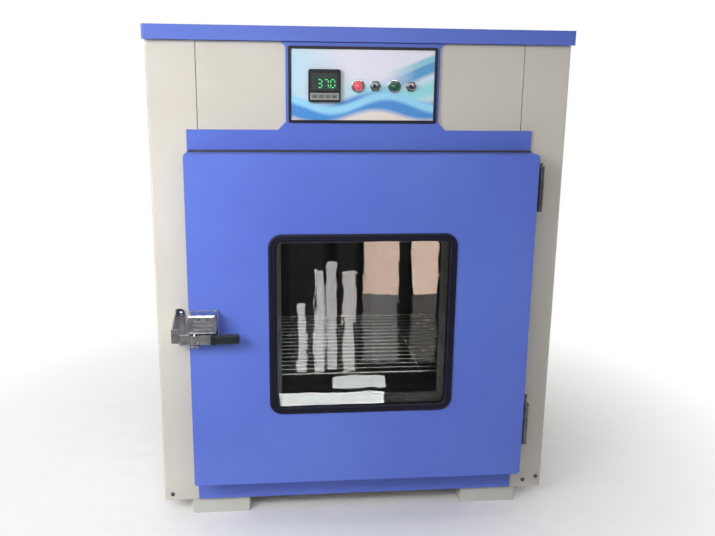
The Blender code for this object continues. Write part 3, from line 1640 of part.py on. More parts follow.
def build_controls():
    label_bezel()
    control_label()
    temperature_controller()
    controller_display()
    for index in range(KEY_COUNT):
        controller_key(index)
    lamp("red", RED_LAMP_X, "red")
    lamp("green", GREEN_LAMP_X, "green")
    toggle("left", LEFT_TOGGLE_X)
    toggle("right", RIGHT_TOGGLE_X)


def build_door():
    hinge = joint_empty("door_swing", (HINGE_X, HINGE_Y, DOOR_CENTRE_Z))
    carry(
        hinge,
        door_skin(),
        door_liner(),
        door_insulation(),
        window_gasket(),
        outer_glass(),
        window_reveal(),
        inner_glass(),
        door_seal(),
        latch_base(),
        hinge_door_leaf("upper_hinge_door_leaf", UPPER_HINGE_Z),
        hinge_door_leaf("lower_hinge_door_leaf", LOWER_HINGE_Z),
    )
    hinge_frame_leaf("upper_hinge_frame_leaf", UPPER_HINGE_Z)
    hinge_frame_leaf("lower_hinge_frame_leaf", LOWER_HINGE_Z)
    pivot = joint_empty("latch_turn", (LATCH_PIVOT_X, LATCH_PIVOT_Y, LEVER_Z))
    carry(pivot, latch_lever(), latch_grip())
    pivot.parent = hinge
    pivot.location = pivot.location - hinge.location


build_cabinet()
build_controls()
build_door()
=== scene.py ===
"""Dresses a bacteriological incubator: finishes, small fittings, studio and camera.

Lengths are in metres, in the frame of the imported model: X to the user's right, Y away
from the user and Z up, with the origin on the floor under the middle of the footprint.
"""

from __future__ import annotations

import json
import logging
import math
from dataclasses import dataclass
from enum import Enum
from typing import Iterable, Sequence

import bmesh
import bpy
from mathutils import Matrix, Vector

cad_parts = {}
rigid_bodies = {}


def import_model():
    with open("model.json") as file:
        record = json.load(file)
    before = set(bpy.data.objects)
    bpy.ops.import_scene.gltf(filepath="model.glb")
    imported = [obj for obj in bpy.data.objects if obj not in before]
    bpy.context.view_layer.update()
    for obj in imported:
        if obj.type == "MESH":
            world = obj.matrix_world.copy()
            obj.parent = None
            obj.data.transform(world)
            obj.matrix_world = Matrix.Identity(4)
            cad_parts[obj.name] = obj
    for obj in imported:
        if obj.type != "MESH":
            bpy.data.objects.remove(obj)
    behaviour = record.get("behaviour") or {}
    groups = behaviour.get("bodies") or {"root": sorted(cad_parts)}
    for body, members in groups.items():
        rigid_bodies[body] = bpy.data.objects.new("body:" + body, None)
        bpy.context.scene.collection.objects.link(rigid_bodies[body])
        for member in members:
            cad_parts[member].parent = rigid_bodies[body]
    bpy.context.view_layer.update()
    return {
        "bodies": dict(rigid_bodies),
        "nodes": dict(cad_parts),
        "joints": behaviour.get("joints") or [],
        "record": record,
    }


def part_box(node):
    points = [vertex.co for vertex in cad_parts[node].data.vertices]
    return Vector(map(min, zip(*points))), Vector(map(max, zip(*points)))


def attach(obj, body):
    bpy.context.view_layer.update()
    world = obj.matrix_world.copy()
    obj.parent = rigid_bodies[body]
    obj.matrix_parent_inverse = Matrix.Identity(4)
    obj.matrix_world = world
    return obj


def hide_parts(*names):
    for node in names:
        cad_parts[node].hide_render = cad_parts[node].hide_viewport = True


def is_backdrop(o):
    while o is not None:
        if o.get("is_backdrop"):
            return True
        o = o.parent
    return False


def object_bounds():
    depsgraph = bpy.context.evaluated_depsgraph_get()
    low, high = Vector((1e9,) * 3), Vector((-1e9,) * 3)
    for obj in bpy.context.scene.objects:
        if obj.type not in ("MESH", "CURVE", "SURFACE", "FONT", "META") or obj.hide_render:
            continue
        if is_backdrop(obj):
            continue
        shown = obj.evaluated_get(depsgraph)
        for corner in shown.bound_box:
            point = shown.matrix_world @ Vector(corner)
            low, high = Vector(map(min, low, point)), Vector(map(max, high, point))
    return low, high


LOG = logging.getLogger("incubator")
Colour = tuple[float, float, float]
Point = tuple[float, float, float]
Flat = tuple[float, float]
Socket = bpy.types.NodeSocket
Form = bmesh.types.BMesh

QUARTERS = ((1, 1), (-1, 1), (-1, -1), (1, -1))

FRAME: dict = {}


def srgb(red: int, green: int, blue: int) -> Colour:
    """Turns a colour of 0 to 255 steps, as a screen shows it, into scene values.

    Args:
        red: The red step.
        green: The green step.
        blue: The blue step.

    Returns:
        The three linear values.
    """

    def linear(step: int) -> float:
        """One channel's linear value."""
        share = step / 255
        return share / 12.92 if share <= 0.04045 else ((share + 0.055) / 1.055) ** 2.4

    return linear(red), linear(green), linear(blue)


def scaled(values: Point, share: float) -> Point:
    """Three values, such as a colour's, times a share."""
    return tuple(share * value for value in values)


class Facing(Enum):
    """The way a small fitting looks, as the axis that leads out of its seat."""

    FRONT = (0.0, -1.0, 0.0)
    BACK = (0.0, 1.0, 0.0)
    LEFT = (-1.0, 0.0, 0.0)
    RIGHT = (1.0, 0.0, 0.0)
    DOWN = (0.0, 0.0, -1.0)

    def turn(self) -> Matrix:
        """The turn that brings +Z to this axis."""
        return Vector((0, 0, 1)).rotation_difference(Vector(self.value)).to_matrix().to_4x4()


class Streaks(Enum):
    """Stretch of a brushed sheet's streaks along each axis: a small number is a long streak."""

    UPRIGHT = (260.0, 260.0, 6.0)
    ACROSS = (6.0, 260.0, 260.0)


# Wiring of materials


class Wiring:
    """Short calls that wire the nodes of a material or a world."""

    def __init__(self, tree: bpy.types.NodeTree) -> None:
        """Takes up a node tree.

        Args:
            tree: The tree.
        """
        self.nodes, self.links = tree.nodes, tree.links

    def feed(self, socket: Socket, value: object) -> None:
        """Links value to socket if it is a socket, and otherwise sets it.

        Args:
            socket: The input.
            value: Another node's output, a number, a colour or a vector.
        """
        if isinstance(value, Socket):
            self.links.new(value, socket)
        elif isinstance(value, tuple) and len(value) == 3 and socket.type == "RGBA":
            socket.default_value = (*value, 1.0)
        else:
            socket.default_value = value

    def add(self, kind: str, inputs: dict | None = None, **settings: object) -> bpy.types.Node:
        """Adds a node.

        Args:
            kind: The node's type.
            inputs: Values or sockets by input name or number.
            **settings: Values of the node's own properties.

        Returns:
            The node.
        """
        node = self.nodes.new(kind)
        for key, value in settings.items():
            setattr(node, key, value)
        for key, value in (inputs or {}).items():
            self.feed(node.inputs[key], value)
        return node

    def noise(self, at: Socket, scale: float, detail: float = 3.0, blend: float = 0.55) -> Socket:
        """Soft noise from 0 to 1.

        Args:
            at: The coordinates.
            scale: Spots in a metre.
            detail: Finer layers.
            blend: How strong the finer layers are.

        Returns:
            The value.
        """
        inputs = {"Vector": at, "Scale": scale, "Detail": detail, "Roughness": blend}
        return self.add("ShaderNodeTexNoise", inputs).outputs[0]

    def span(
        self, value: Socket, start: float, end: float, low: float = 0.0, high: float = 1.0
    ) -> Socket:
        """Maps start to low and end to high, with no value past them.

        Args:
            value: The input.
            start: The input that gives low.
            end: The input that gives high.
            low: The first output.
            high: The last output.

        Returns:
            The mapped value.
        """
        names = ("Value", "From Min", "From Max", "To Min", "To Max")
        inputs = dict(zip(names, (value, start, end, low, high)))
        return self.add("ShaderNodeMapRange", inputs).outputs[0]

    def sum(self, kind: str, first: object, second: object = 0.0, third: float = 0.0) -> Socket:
        """A step of arithmetic.

        Args:
            kind: The operation, such as MULTIPLY.
            first: The first value.
            second: The second value.
            third: The third value, where the operation takes one.

        Returns:
            The result.
        """
        inputs = {0: first, 1: second, 2: third}
        return self.add("ShaderNodeMath", inputs, operation=kind).outputs[0]

    def mix(self, share: object, first: object, second: object) -> Socket:
        """A blend of two colours.

        Args:
            share: The second colour's share.
            first: The first colour.
            second: The second colour.

        Returns:
            The colour.
        """
        inputs = {0: share, 6: first, 7: second}
        return self.add("ShaderNodeMix", inputs, data_type="RGBA").outputs[2]

    def blend(self, share: object, first: Socket, second: Socket) -> Socket:
        """A blend of two shaders.

        Args:
            share: The second shader's share.
            first: The first shader.
            second: The second shader.

        Returns:
            The shader.
        """
        return self.add("ShaderNodeMixShader", {0: share, 1: first, 2: second}).outputs[0]


class Graph(Wiring):
    """The wiring of one material round its Principled shader."""

    def __init__(self, name: str) -> None:
        """Starts a material.

        Args:
            name: The material's name.
        """
        self.material = bpy.data.materials.new(name)
        self.material.use_nodes = True
        super().__init__(self.material.node_tree)
        self.shader = self.nodes["Principled BSDF"]

    def place(self, stretch: Point = (1.0, 1.0, 1.0)) -> Socket:
        """Coordinates on the piece in metres, stretched along each axis.

        Args:
            stretch: The factor along each axis.

        Returns:
            The vector.
        """
        at = self.add("ShaderNodeTexCoord").outputs["Object"]
        if stretch == (1.0, 1.0, 1.0):
            return at
        return self.add("ShaderNodeMapping", {"Vector": at, "Scale": stretch}).outputs[0]

    def show(self, share: object, second: bpy.types.Node) -> None:
        """Shows the material's own shader, blended with a second one.

        Args:
            share: The second shader's share.
            second: The second shader's node.
        """
        mixed = self.blend(share, self.shader.outputs[0], second.outputs[0])
        self.feed(self.nodes["Material Output"].inputs["Surface"], mixed)

    def relief(
        self, height: Socket, depth: float, strength: float = 1.0, radius: float = 0.0
    ) -> None:
        """Gives the surface a relief, and rounds its sharp edges if radius says so.

        Args:
            height: The relief from 0 to 1.
            depth: Its depth in metres.
            strength: Its share.
            radius: The radius of rounded edges.
        """
        inputs = {"Height": height, "Distance": depth, "Strength": strength}
        if radius:
            edge = self.add("ShaderNodeBevel", {"Radius": radius}, samples=4)
            inputs["Normal"] = edge.outputs[0]
        bump = self.add("ShaderNodeBump", inputs)
        self.feed(self.shader.inputs["Normal"], bump.outputs[0])

    def dress(self, **inputs: object) -> None:
        """Sets or links inputs of the shader, named with underscores for spaces.

        Args:
            **inputs: The values or sockets.
        """
        for key, value in inputs.items():
            self.feed(self.shader.inputs[key.replace("_", " ")], value)


# Finishes


@dataclass(frozen=True)
class Finish:
    """A surface with a name of its own.

    Attributes:
        name: The material's name.
        slot: The record's material slot; not used.
    """

    name: str
    slot: str

    def material(self) -> bpy.types.Material:
        """The finish's material, made the first time it is asked for.

        Returns:
            The material.
        """
        if self.name not in bpy.data.materials:
            self.wire(Graph(self.name))
        return bpy.data.materials[self.name]

    def wire(self, graph: Graph) -> None:
        """Wires the material. Each kind of finish says how.

        Args:
            graph: Its wiring.
        """
        raise NotImplementedError


@dataclass(frozen=True)
class Enamel(Finish):
    """Sprayed enamel on sheet metal, with a faint orange peel, dull patches and handling marks.

    Attributes:
        colour: The paint.
        shade: The paint where it is duller.
        rough: The paint's roughness.
    """

    colour: Colour = (0.5, 0.5, 0.5)
    shade: Colour = (0.4, 0.4, 0.4)
    rough: float = 0.34

    def wire(self, graph: Graph) -> None:
        """Wires the material.

        Args:
            graph: Its wiring.
        """
        at = graph.place()
        cloud = graph.span(graph.noise(at, 4.0, 3.0), 0.32, 0.70)
        smear = graph.span(graph.noise(graph.place((9.0, 9.0, 2.5)), 3.0, 5.0, 0.7), 0.48, 0.74)
        speck = graph.span(graph.noise(at, 420.0, 2.0), 0.68, 0.78, 0.0, 0.35)
        paint = graph.mix(cloud, self.colour, self.shade)
        worn = graph.mix(speck, paint, scaled(self.shade, 0.55))
        rough = graph.span(smear, 0.0, 1.0, self.rough, self.rough + 0.16)
        graph.relief(graph.noise(at, 620.0, 2.0), 0.00009, 0.35, radius=0.0012)
        graph.dress(Base_Color=worn, Roughness=rough, Specular_IOR_Level=0.5, Coat_Weight=0.12)
        graph.dress(Coat_Roughness=0.18)


@dataclass(frozen=True)
class BrushedSheet(Finish):
    """Stainless sheet with fine streaks along one axis and faint wipe marks.

    Attributes:
        colour: The metal.
        rough: The roughness between streaks.
        streaks: The way the streaks run.
        band: How much darker the sheet is in its broad bands of painted reflection.
        band_scale: How close those bands lie.
    """

    colour: Colour = (0.62, 0.61, 0.58)
    rough: float = 0.16
    streaks: Streaks = Streaks.UPRIGHT
    band: float = 0.0
    band_scale: float = 16.0

    def wire(self, graph: Graph) -> None:
        """Wires the material.

        Args:
            graph: Its wiring.
        """
        streak = graph.noise(graph.place(self.streaks.value), 1.0, 3.0, 0.6)
        wipe = graph.span(graph.noise(graph.place(), 11.0, 4.0, 0.65), 0.42, 0.72)
        tone = graph.span(streak, 0.3, 0.7)
        deep = scaled(self.colour, 0.80)
        sheet = graph.mix(tone, deep, self.colour)
        # Broad bands that darken the sheet along its streaks are painted reflection.
        if self.band:
            wide = scaled(self.streaks.value, 0.004)
            reflection_bands = graph.noise(graph.place(wide), self.band_scale, 2.0, 0.4)
            dark = scaled(self.colour, 1.0 - self.band)
            sheet = graph.mix(graph.span(reflection_bands, 0.44, 0.56), dark, sheet)
        graph.dress(Base_Color=sheet, Metallic=1.0)
        lined = graph.span(streak, 0.3, 0.7, self.rough, self.rough + 0.12)
        graph.dress(Roughness=graph.sum("ADD", lined, graph.span(wipe, 0.0, 1.0, 0.0, 0.08)))
        graph.relief(streak, 0.00004, 0.25, radius=0.0006)


@dataclass(frozen=True)
class Plating(Finish):
    """Plated or drawn metal, clouded and pitted as its age asks.

    Attributes:
        colour: The bright metal.
        dull: The metal where it is tarnished.
        rough: The roughness of the bright metal.
        age: The share of tarnish, from 0 to 1.
    """

    colour: Colour = (0.7, 0.7, 0.7)
    dull: Colour = (0.4, 0.4, 0.4)
    rough: float = 0.1
    age: float = 0.3

    def wire(self, graph: Graph) -> None:
        """Wires the material.

        Args:
            graph: Its wiring.
        """
        at = graph.place()
        cloud = graph.span(graph.noise(at, 70.0, 4.0, 0.62), 0.66 - 0.3 * self.age, 0.82)
        pits = graph.noise(at, 900.0, 2.0)
        tarnish = graph.sum("MULTIPLY", cloud, self.age + 0.25)
        graph.dress(Base_Color=graph.mix(tarnish, self.colour, self.dull), Metallic=1.0)
        graph.dress(Roughness=graph.span(cloud, 0.0, 1.0, self.rough, self.rough + 0.25))
        graph.relief(pits, 0.00005, 0.3 + 0.4 * self.age, radius=0.0005)


@dataclass(frozen=True)
class Moulded(Finish):
    """Moulded plastic or rubber with a fine grain and dust in it.

    Attributes:
        colour: The material's own colour.
        dust: The colour of what lies on it.
        rough: The roughness.
        grain: The depth of the grain in metres.
        shine: The specular level.
    """

    colour: Colour = (0.02, 0.02, 0.02)
    dust: Colour = (0.2, 0.2, 0.2)
    rough: float = 0.4
    grain: float = 0.00006
    shine: float = 0.5

    def wire(self, graph: Graph) -> None:
        """Wires the material.

        Args:
            graph: Its wiring.
        """
        at = graph.place()
        grain = graph.noise(at, 1500.0, 2.0)
        film = graph.span(graph.noise(at, 38.0, 4.0, 0.6), 0.5, 0.8, 0.0, 0.22)
        graph.dress(Base_Color=graph.mix(film, self.colour, self.dust))
        graph.dress(Roughness=graph.span(grain, 0.3, 0.7, self.rough - 0.05, self.rough + 0.12))
        graph.dress(Specular_IOR_Level=self.shine)
        graph.relief(grain, self.grain, 0.5, radius=0.0005)


@dataclass(frozen=True)
class Wool(Finish):
    """Mineral wool: matted fibres with paler and browner tufts.

    Attributes:
        colour: The paler fibres.
        dark: The browner fibres.
    """

    colour: Colour = (0.55, 0.50, 0.36)
    dark: Colour = (0.34, 0.28, 0.16)

    def wire(self, graph: Graph) -> None:
        """Wires the material.

        Args:
            graph: Its wiring.
        """
        fibre = graph.noise(graph.place((90.0, 420.0, 420.0)), 1.0, 6.0, 0.75)
        graph.dress(Base_Color=graph.mix(graph.span(fibre, 0.35, 0.65), self.dark, self.colour))
        graph.dress(Roughness=graph.span(fibre, 0.3, 0.7, 0.85, 1.0), Sheen_Weight=0.3)
        graph.relief(fibre, 0.002, 0.8)


@dataclass(frozen=True)
class Pane(Finish):
    """Clear glass that lamps shine through, drawn a little wavy, with wipe marks in its gloss.

    Attributes:
        tint: What the glass lets through.
        veil: What it lets through of the light that falls in.
    """

    tint: Colour = (0.96, 0.97, 0.965)
    veil: Colour = (0.89, 0.895, 0.89)

    def wire(self, graph: Graph) -> None:
        """Wires the material.

        Args:
            graph: Its wiring.
        """
        smear = graph.noise(graph.place((5.0, 5.0, 16.0)), 2.2, 5.0, 0.7)
        graph.dress(Base_Color=self.tint, Transmission_Weight=1.0, IOR=1.25)
        graph.dress(Roughness=graph.span(smear, 0.5, 0.8, 0.0, 0.035))
        graph.relief(graph.noise(graph.place((1.0, 1.0, 0.5)), 26.0, 3.0, 0.6), 0.00022)
        clear = graph.add("ShaderNodeBsdfTransparent", {"Color": self.veil})
        path = graph.add("ShaderNodeLightPath").outputs
        veil = graph.sum("MAXIMUM", path["Is Shadow Ray"], path["Is Diffuse Ray"])
        veil = graph.sum("MAXIMUM", veil, path["Is Glossy Ray"])
        graph.show(veil, clear)


@dataclass(frozen=True)
class Lens(Finish):
    """Tinted plastic lens with moulded ribs and a little light of its own.

    Attributes:
        colour: The plastic.
        core: The colour of its light.
        light: The strength of its light.
    """

    colour: Colour = (0.7, 0.05, 0.1)
    core: Colour = (1.0, 0.3, 0.3)
    light: float = 0.0

    def wire(self, graph: Graph) -> None:
        """Wires the material.

        Args:
            graph: Its wiring.
        """
        at = graph.place()
        wave = graph.noise(at, 260.0, 2.0)
        deep = scaled(self.colour, 0.5)
        graph.dress(Base_Color=graph.mix(graph.span(wave, 0.3, 0.7), deep, self.colour))
        graph.dress(Roughness=graph.span(wave, 0.3, 0.7, 0.10, 0.22), Coat_Weight=0.6)
        graph.dress(Emission_Color=self.core, Emission_Strength=self.light)
        graph.relief(wave, 0.0002, 0.4, radius=0.0004)


@dataclass(frozen=True)
class Glow(Finish):
    """A lit segment behind the display's window, brighter at some points than at others.

    Attributes:
        colour: The light.
        light: Its strength.
    """

    colour: Colour = (0.1, 0.9, 0.3)
    light: float = 1.0

    def wire(self, graph: Graph) -> None:
        """Wires the material.

        Args:
            graph: Its wiring.
        """
        spots = graph.noise(graph.place(), 900.0, 2.0)
        dim = scaled(self.colour, 0.6)
        shown = graph.mix(graph.span(spots, 0.3, 0.7), dim, self.colour)
        graph.dress(Base_Color=shown, Emission_Color=shown, Emission_Strength=self.light)
        graph.dress(Roughness=graph.span(spots, 0.3, 0.7, 0.3, 0.5))


# Meshes


def turned_form(shape: Form, profile: Sequence[Flat], steps: int) -> None:
    """Adds a turned form: its profile goes round +Z.

    Args:
        shape: The mesh under construction.
        profile: Pairs of radius and height, from the top down the outer side.
        steps: Sides of the round form.
    """
    rings: list[list[bmesh.types.BMVert]] = []
    for radius, height in profile:
        count = steps if radius > 1e-7 else 1
        angles = [2 * math.pi * step / steps for step in range(count)]
        spots = [(radius * math.cos(a), radius * math.sin(a), height) for a in angles]
        rings.append([shape.verts.new(spot) for spot in spots])
    for upper, lower in zip(rings, rings[1:]):
        for step in range(steps):
            after = (step + 1) % steps
            corners = [upper[step % len(upper)], lower[step % len(lower)]]
            corners += [lower[after % len(lower)], upper[after % len(upper)]]
            seen = list(dict.fromkeys(corners))
            if len(seen) > 2:
                shape.faces.new(seen)


def closed_turn(profile: Sequence[Flat]) -> list[Flat]:
    """A profile that ends where it starts, as a ring's does."""
    return [*profile, profile[0]]


def quarter(steps: int) -> list[Flat]:
    """Sine and cosine at even steps through a quarter turn, without its start."""
    angles = [math.pi / 2 * step / steps for step in range(1, steps + 1)]
    return [(math.sin(angle), math.cos(angle)) for angle in angles]


def add_box(shape: Form, low: Sequence[float], high: Sequence[float]) -> None:
    """Adds a box between two opposite corners.

    Args:
        shape: The mesh under construction.
        low: The lowest corner.
        high: The highest corner.
    """
    start, end = Vector(low), Vector(high)
    place = Matrix.Translation((start + end) / 2) @ Matrix.Diagonal((*(end - start), 1.0))
    bmesh.ops.create_cube(shape, size=1.0, matrix=place)


def join_rings(
    shape: Form, rings: Sequence[list[bmesh.types.BMVert]], closed: bool = False
) -> None:
    """Joins each ring of points to the next with faces.

    Args:
        shape: The mesh under construction.
        rings: Rings of the same number of points.
        closed: True if the last ring joins the first. Otherwise both get a flat end.
    """
    path = [*rings, rings[0]] if closed else rings
    for start, end in zip(path, path[1:]):
        for step in range(len(start)):
            after = (step + 1) % len(start)
            shape.faces.new([start[step], start[after], end[after], end[step]])
    if not closed:
        shape.faces.new(rings[0][::-1])
        shape.faces.new(rings[-1])


def add_prism(shape: Form, outline: Sequence[Flat], near: float, far: float) -> None:
    """Adds a prism that looks towards the user.

    Args:
        shape: The mesh under construction.
        outline: Corners as X and Z, anticlockwise as the user sees them.
        near: The Y of its face.
        far: The Y of its back.
    """
    front = [shape.verts.new((x, near, z)) for x, z in outline]
    back = [shape.verts.new((x, far, z)) for x, z in outline]
    shape.faces.new(front)
    shape.faces.new(back[::-1])
    for index, corner in enumerate(front):
        after = (index + 1) % len(front)
        shape.faces.new([corner, back[index], back[after], front[after]])


def add_rod(
    shape: Form, path: Sequence[Point], radius: float, sides: int, closed: bool = False
) -> None:
    """Adds a round bar along a path, with flat ends where the path is open.

    Args:
        shape: The mesh under construction.
        path: The points of its middle line.
        radius: Its radius.
        sides: Its sides.
        closed: True if the bar ends where it starts.
    """
    points = [Vector(point) for point in path]
    count = len(points)
    side = Vector((0, 0, 1))
    rings = []
    for index, point in enumerate(points):
        before = points[index - 1] if closed or index else point
        after = points[(index + 1) % count] if closed or index < count - 1 else point
        along = (after - before).normalized()
        if abs(along.dot(side)) > 0.98:
            side = Vector((1, 0, 0))
        side = (side - along * side.dot(along)).normalized()
        across = along.cross(side)
        angles = [2 * math.pi * step / sides for step in range(sides)]
        spots = [point + radius * (math.cos(a) * side + math.sin(a) * across) for a in angles]
        rings.append([shape.verts.new(spot) for spot in spots])
    join_rings(shape, rings, closed)


def add_frame(
    shape: Form, centre: Flat, size: Flat, corner: float, section: Sequence[Flat], steps: int
) -> None:
    """Sweeps a section round an upright rectangle with round corners.

    Args:
        shape: The mesh under construction.
        centre: X and Z of the rectangle's middle.
        size: Its width and height.
        corner: Its corners' radius.
        section: The section's corners: distance out from the rectangle's line, and Y.
        steps: Steps in each corner.
    """
    rings = []
    for turn, (u, v) in enumerate(QUARTERS):
        pivot = (centre[0] + u * (size[0] / 2 - corner), centre[1] + v * (size[1] / 2 - corner))
        for step in range(steps + 1):
            angle = (turn + step / steps) * math.pi / 2
            out = (math.cos(angle), math.sin(angle))
            ring = []
            for reach, level in section:
                x, z = (at + (corner + reach) * way for at, way in zip(pivot, out))
                ring.append(shape.verts.new((x, level, z)))
            rings.append(ring)
    join_rings(shape, rings, closed=True)


def carved(shape: Form, tool: Form) -> Form:
    """Cuts one mesh out of another.

    Args:
        shape: The mesh that is cut.
        tool: The mesh that is taken away.

    Returns:
        The cut mesh, under construction.
    """
    pieces = []
    for part in (shape, tool):
        bmesh.ops.recalc_face_normals(part, faces=part.faces)
        mesh = bpy.data.meshes.new("blank")
        part.to_mesh(mesh)
        part.free()
        pieces.append(bpy.data.objects.new("blank", mesh))
        bpy.context.scene.collection.objects.link(pieces[-1])
    step = pieces[0].modifiers.new("cut", "BOOLEAN")
    step.operation, step.solver, step.object = "DIFFERENCE", "EXACT", pieces[1]
    view = bpy.context.evaluated_depsgraph_get()
    made = bmesh.new()
    made.from_mesh(pieces[0].evaluated_get(view).to_mesh())
    for piece in pieces:
        bpy.data.objects.remove(piece, do_unlink=True)
    return made


def settle(shape: Form, name: str, finish: Finish, sharp: float) -> bpy.types.Mesh:
    """Turns a mesh under construction into a finished mesh.

    Args:
        shape: The mesh under construction, which is freed.
        name: The mesh's name.
        finish: Its finish.
        sharp: The angle in degrees past which an edge stays sharp.

    Returns:
        The mesh.
    """
    bmesh.ops.recalc_face_normals(shape, faces=shape.faces)
    mesh = bpy.data.meshes.new(name)
    shape.to_mesh(mesh)
    shape.free()
    mesh.materials.append(finish.material())
    mesh.shade_smooth()
    mesh.set_sharp_from_angle(angle=math.radians(sharp))
    return mesh


def publish(
    name: str,
    mesh: bpy.types.Mesh,
    body: str,
    place: Matrix | None = None,
    stands_for: Iterable[str] = (),
) -> None:
    """Puts a piece in the scene, on the body that carries it.

    Args:
        name: The piece's name.
        mesh: Its mesh.
        body: The body that it rides on.
        place: Where the mesh goes.
        stands_for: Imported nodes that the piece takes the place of.
    """
    piece = bpy.data.objects.new(name, mesh)
    bpy.context.scene.collection.objects.link(piece)
    piece.matrix_world = place or Matrix.Identity(4)
    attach(piece, body)
    for node in stands_for:
        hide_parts(node)
    LOG.info("piece %s on %s", name, body)


def cast(
    shape: Form,
    name: str,
    finish: Finish,
    sharp: float,
    body: str,
    place: Matrix | None = None,
    stands_for: Iterable[str] = (),
) -> None:
    """Settles a mesh and puts it in the scene as a piece of the same name.

    Args:
        shape: The mesh under construction, which is freed.
        name: The piece's name.
        finish: Its finish.
        sharp: The angle in degrees past which an edge stays sharp.
        body: The body that it rides on.
        place: Where the mesh goes.
        stands_for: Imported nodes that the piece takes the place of.
    """
    publish(name, settle(shape, name, finish, sharp), body, place, stands_for)


def dress(finish: Finish, *nodes: str) -> None:
    """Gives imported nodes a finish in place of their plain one.

    Args:
        finish: The finish.
        *nodes: The nodes' names.
    """
    for node in nodes:
        item = FRAME["nodes"][node]
        for slot in item.material_slots:
            slot.material = finish.material()
        LOG.info("node %s in %s", node, finish.name)


def middle(node: str) -> Vector:
    """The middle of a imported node's box."""
    low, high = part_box(node)
    return (low + high) / 2


# Fasteners


@dataclass(frozen=True)
class PanScrew:
    """A pan-head screw with a cross recess.

    Attributes:
        radius: The head's radius.
        rise: The head's height.
        sunk: How far the head reaches into what it holds.
    """

    radius: float = 0.0034
    rise: float = 0.0022
    sunk: float = 0.0004

    def mesh(self, finish: Finish) -> bpy.types.Mesh:
        """The head's mesh, seated at the origin and looking along +Z.

        Args:
            finish: Its finish.

        Returns:
            The mesh, shared by all screws of this size and finish.
        """
        name = "pan_screw_%d_%s" % (round(self.radius * 1e5), finish.name.replace(" ", "_"))
        if name in bpy.data.meshes:
            return bpy.data.meshes[name]
        shape = bmesh.new()
        dome = [
            (self.radius * sine, self.rise * (0.25 + 0.75 * cosine)) for sine, cosine in quarter(5)
        ]
        foot = [(self.radius, -self.sunk), (0.0, -self.sunk)]
        turned_form(shape, [(0.0, self.rise), *dome, *foot], 24)
        tool = bmesh.new()
        arm, web, floor = 0.55 * self.radius, 0.12 * self.radius, 0.35 * self.rise
        add_box(tool, (-arm, -web, floor), (arm, web, 2 * self.rise))
        head = carved(shape, tool)
        tool = bmesh.new()
        add_box(tool, (-web, -arm, floor), (web, arm, 2 * self.rise))
        return settle(carved(head, tool), name, finish, 35.0)

    def drive(
        self, name: str, finish: Finish, body: str, at: Iterable[Sequence[float]], facing: Facing
    ) -> None:
        """Puts a row of screws in place.

        Args:
            name: The name that each screw's own starts with.
            finish: Their finish.
            body: The body that they hold to.
            at: Their seats.
            facing: The way their heads look.
        """
        for index, point in enumerate(at):
            spin = Matrix.Rotation(0.9 * index + 0.4, 4, "Z")
            place = Matrix.Translation(Vector(point)) @ facing.turn() @ spin
            publish("%s_%d" % (name, index + 1), self.mesh(finish), body, place)


@dataclass(frozen=True)
class HexNut:
    """A six-sided nut with chamfered corners.

    Attributes:
        across: The distance across its flats.
        thick: Its thickness.
        bore: The radius of its hole.
    """

    across: float = 0.014
    thick: float = 0.0024
    bore: float = 0.0053

    def mesh(self, name: str, finish: Finish) -> bpy.types.Mesh:
        """The nut's mesh, seated at the origin and looking along +Z.

        Args:
            name: The mesh's name.
            finish: Its finish.

        Returns:
            The mesh.
        """
        shape = bmesh.new()
        rim = self.across / 2 / math.cos(math.pi / 6)
        lip = 0.18 * self.thick
        levels = ((0.0, 0.95), (lip, 1.0), (self.thick - lip, 1.0), (self.thick, 0.93))
        rings = []
        for height, share in levels:
            reach, angles = share * rim, [math.pi / 3 * side for side in range(6)]
            spots = [(reach * math.cos(a), reach * math.sin(a), height) for a in angles]
            rings.append([shape.verts.new(spot) for spot in spots])
        join_rings(shape, rings)
        tool = bmesh.new()
        top, bottom = 2 * self.thick, -self.thick
        pin = [(0.0, top), (self.bore, top), (self.bore, bottom), (0.0, bottom)]
        turned_form(tool, pin, 24)
        return settle(carved(shape, tool), name, finish, 30.0)


# This object's finishes

BLUE = Enamel("blue paint", "blue_enamel", srgb(92, 117, 208), srgb(84, 106, 200), 0.36)
CREAM = Enamel("cream paint", "cream_enamel", srgb(208, 203, 192), srgb(198, 192, 180), 0.40)
FOOT_CREAM = Enamel("foot paint", "cream_enamel", srgb(206, 205, 196), srgb(188, 186, 176), 0.46)
# The last number of each steel is the depth of its painted reflection bands.
STEEL = BrushedSheet("chamber steel", "stainless", (0.34, 0.34, 0.33), 0.36, Streaks.UPRIGHT, 0.72)
LINER_STEEL = BrushedSheet(
    "liner steel", "stainless", (0.56, 0.56, 0.54), 0.24, Streaks.UPRIGHT, 0.20
)
FLOOR_STEEL = BrushedSheet(
    "floor steel", "stainless", (0.42, 0.42, 0.41), 0.30, Streaks.ACROSS, 0.35
)
TRIM_STEEL = BrushedSheet(
    "reveal steel", "stainless", (0.40, 0.39, 0.37), 0.12, Streaks.ACROSS, 0.30
)
WIRE = Plating("drawn wire", "bright_wire", (0.95, 0.95, 0.93), (0.72, 0.71, 0.69), 0.26, 0.15)
CHROME = Plating("worn chrome", "chrome_plate", (0.62, 0.62, 0.63), (0.10, 0.10, 0.095), 0.14, 0.70)
BRIGHT = Plating(
    "bright chrome", "chrome_plate", (0.60, 0.60, 0.62), (0.26, 0.26, 0.27), 0.09, 0.25
)
ZINC = Plating("dull zinc", "zinc_plate", (0.36, 0.36, 0.38), (0.12, 0.12, 0.13), 0.30, 0.6)
HINGE = Plating("hinge steel", "zinc_plate", (0.24, 0.24, 0.26), (0.05, 0.05, 0.06), 0.28, 0.8)
DARK_SCREW = Plating(
    "dark screws", "zinc_plate", (0.16, 0.15, 0.15), (0.05, 0.045, 0.04), 0.35, 0.7
)
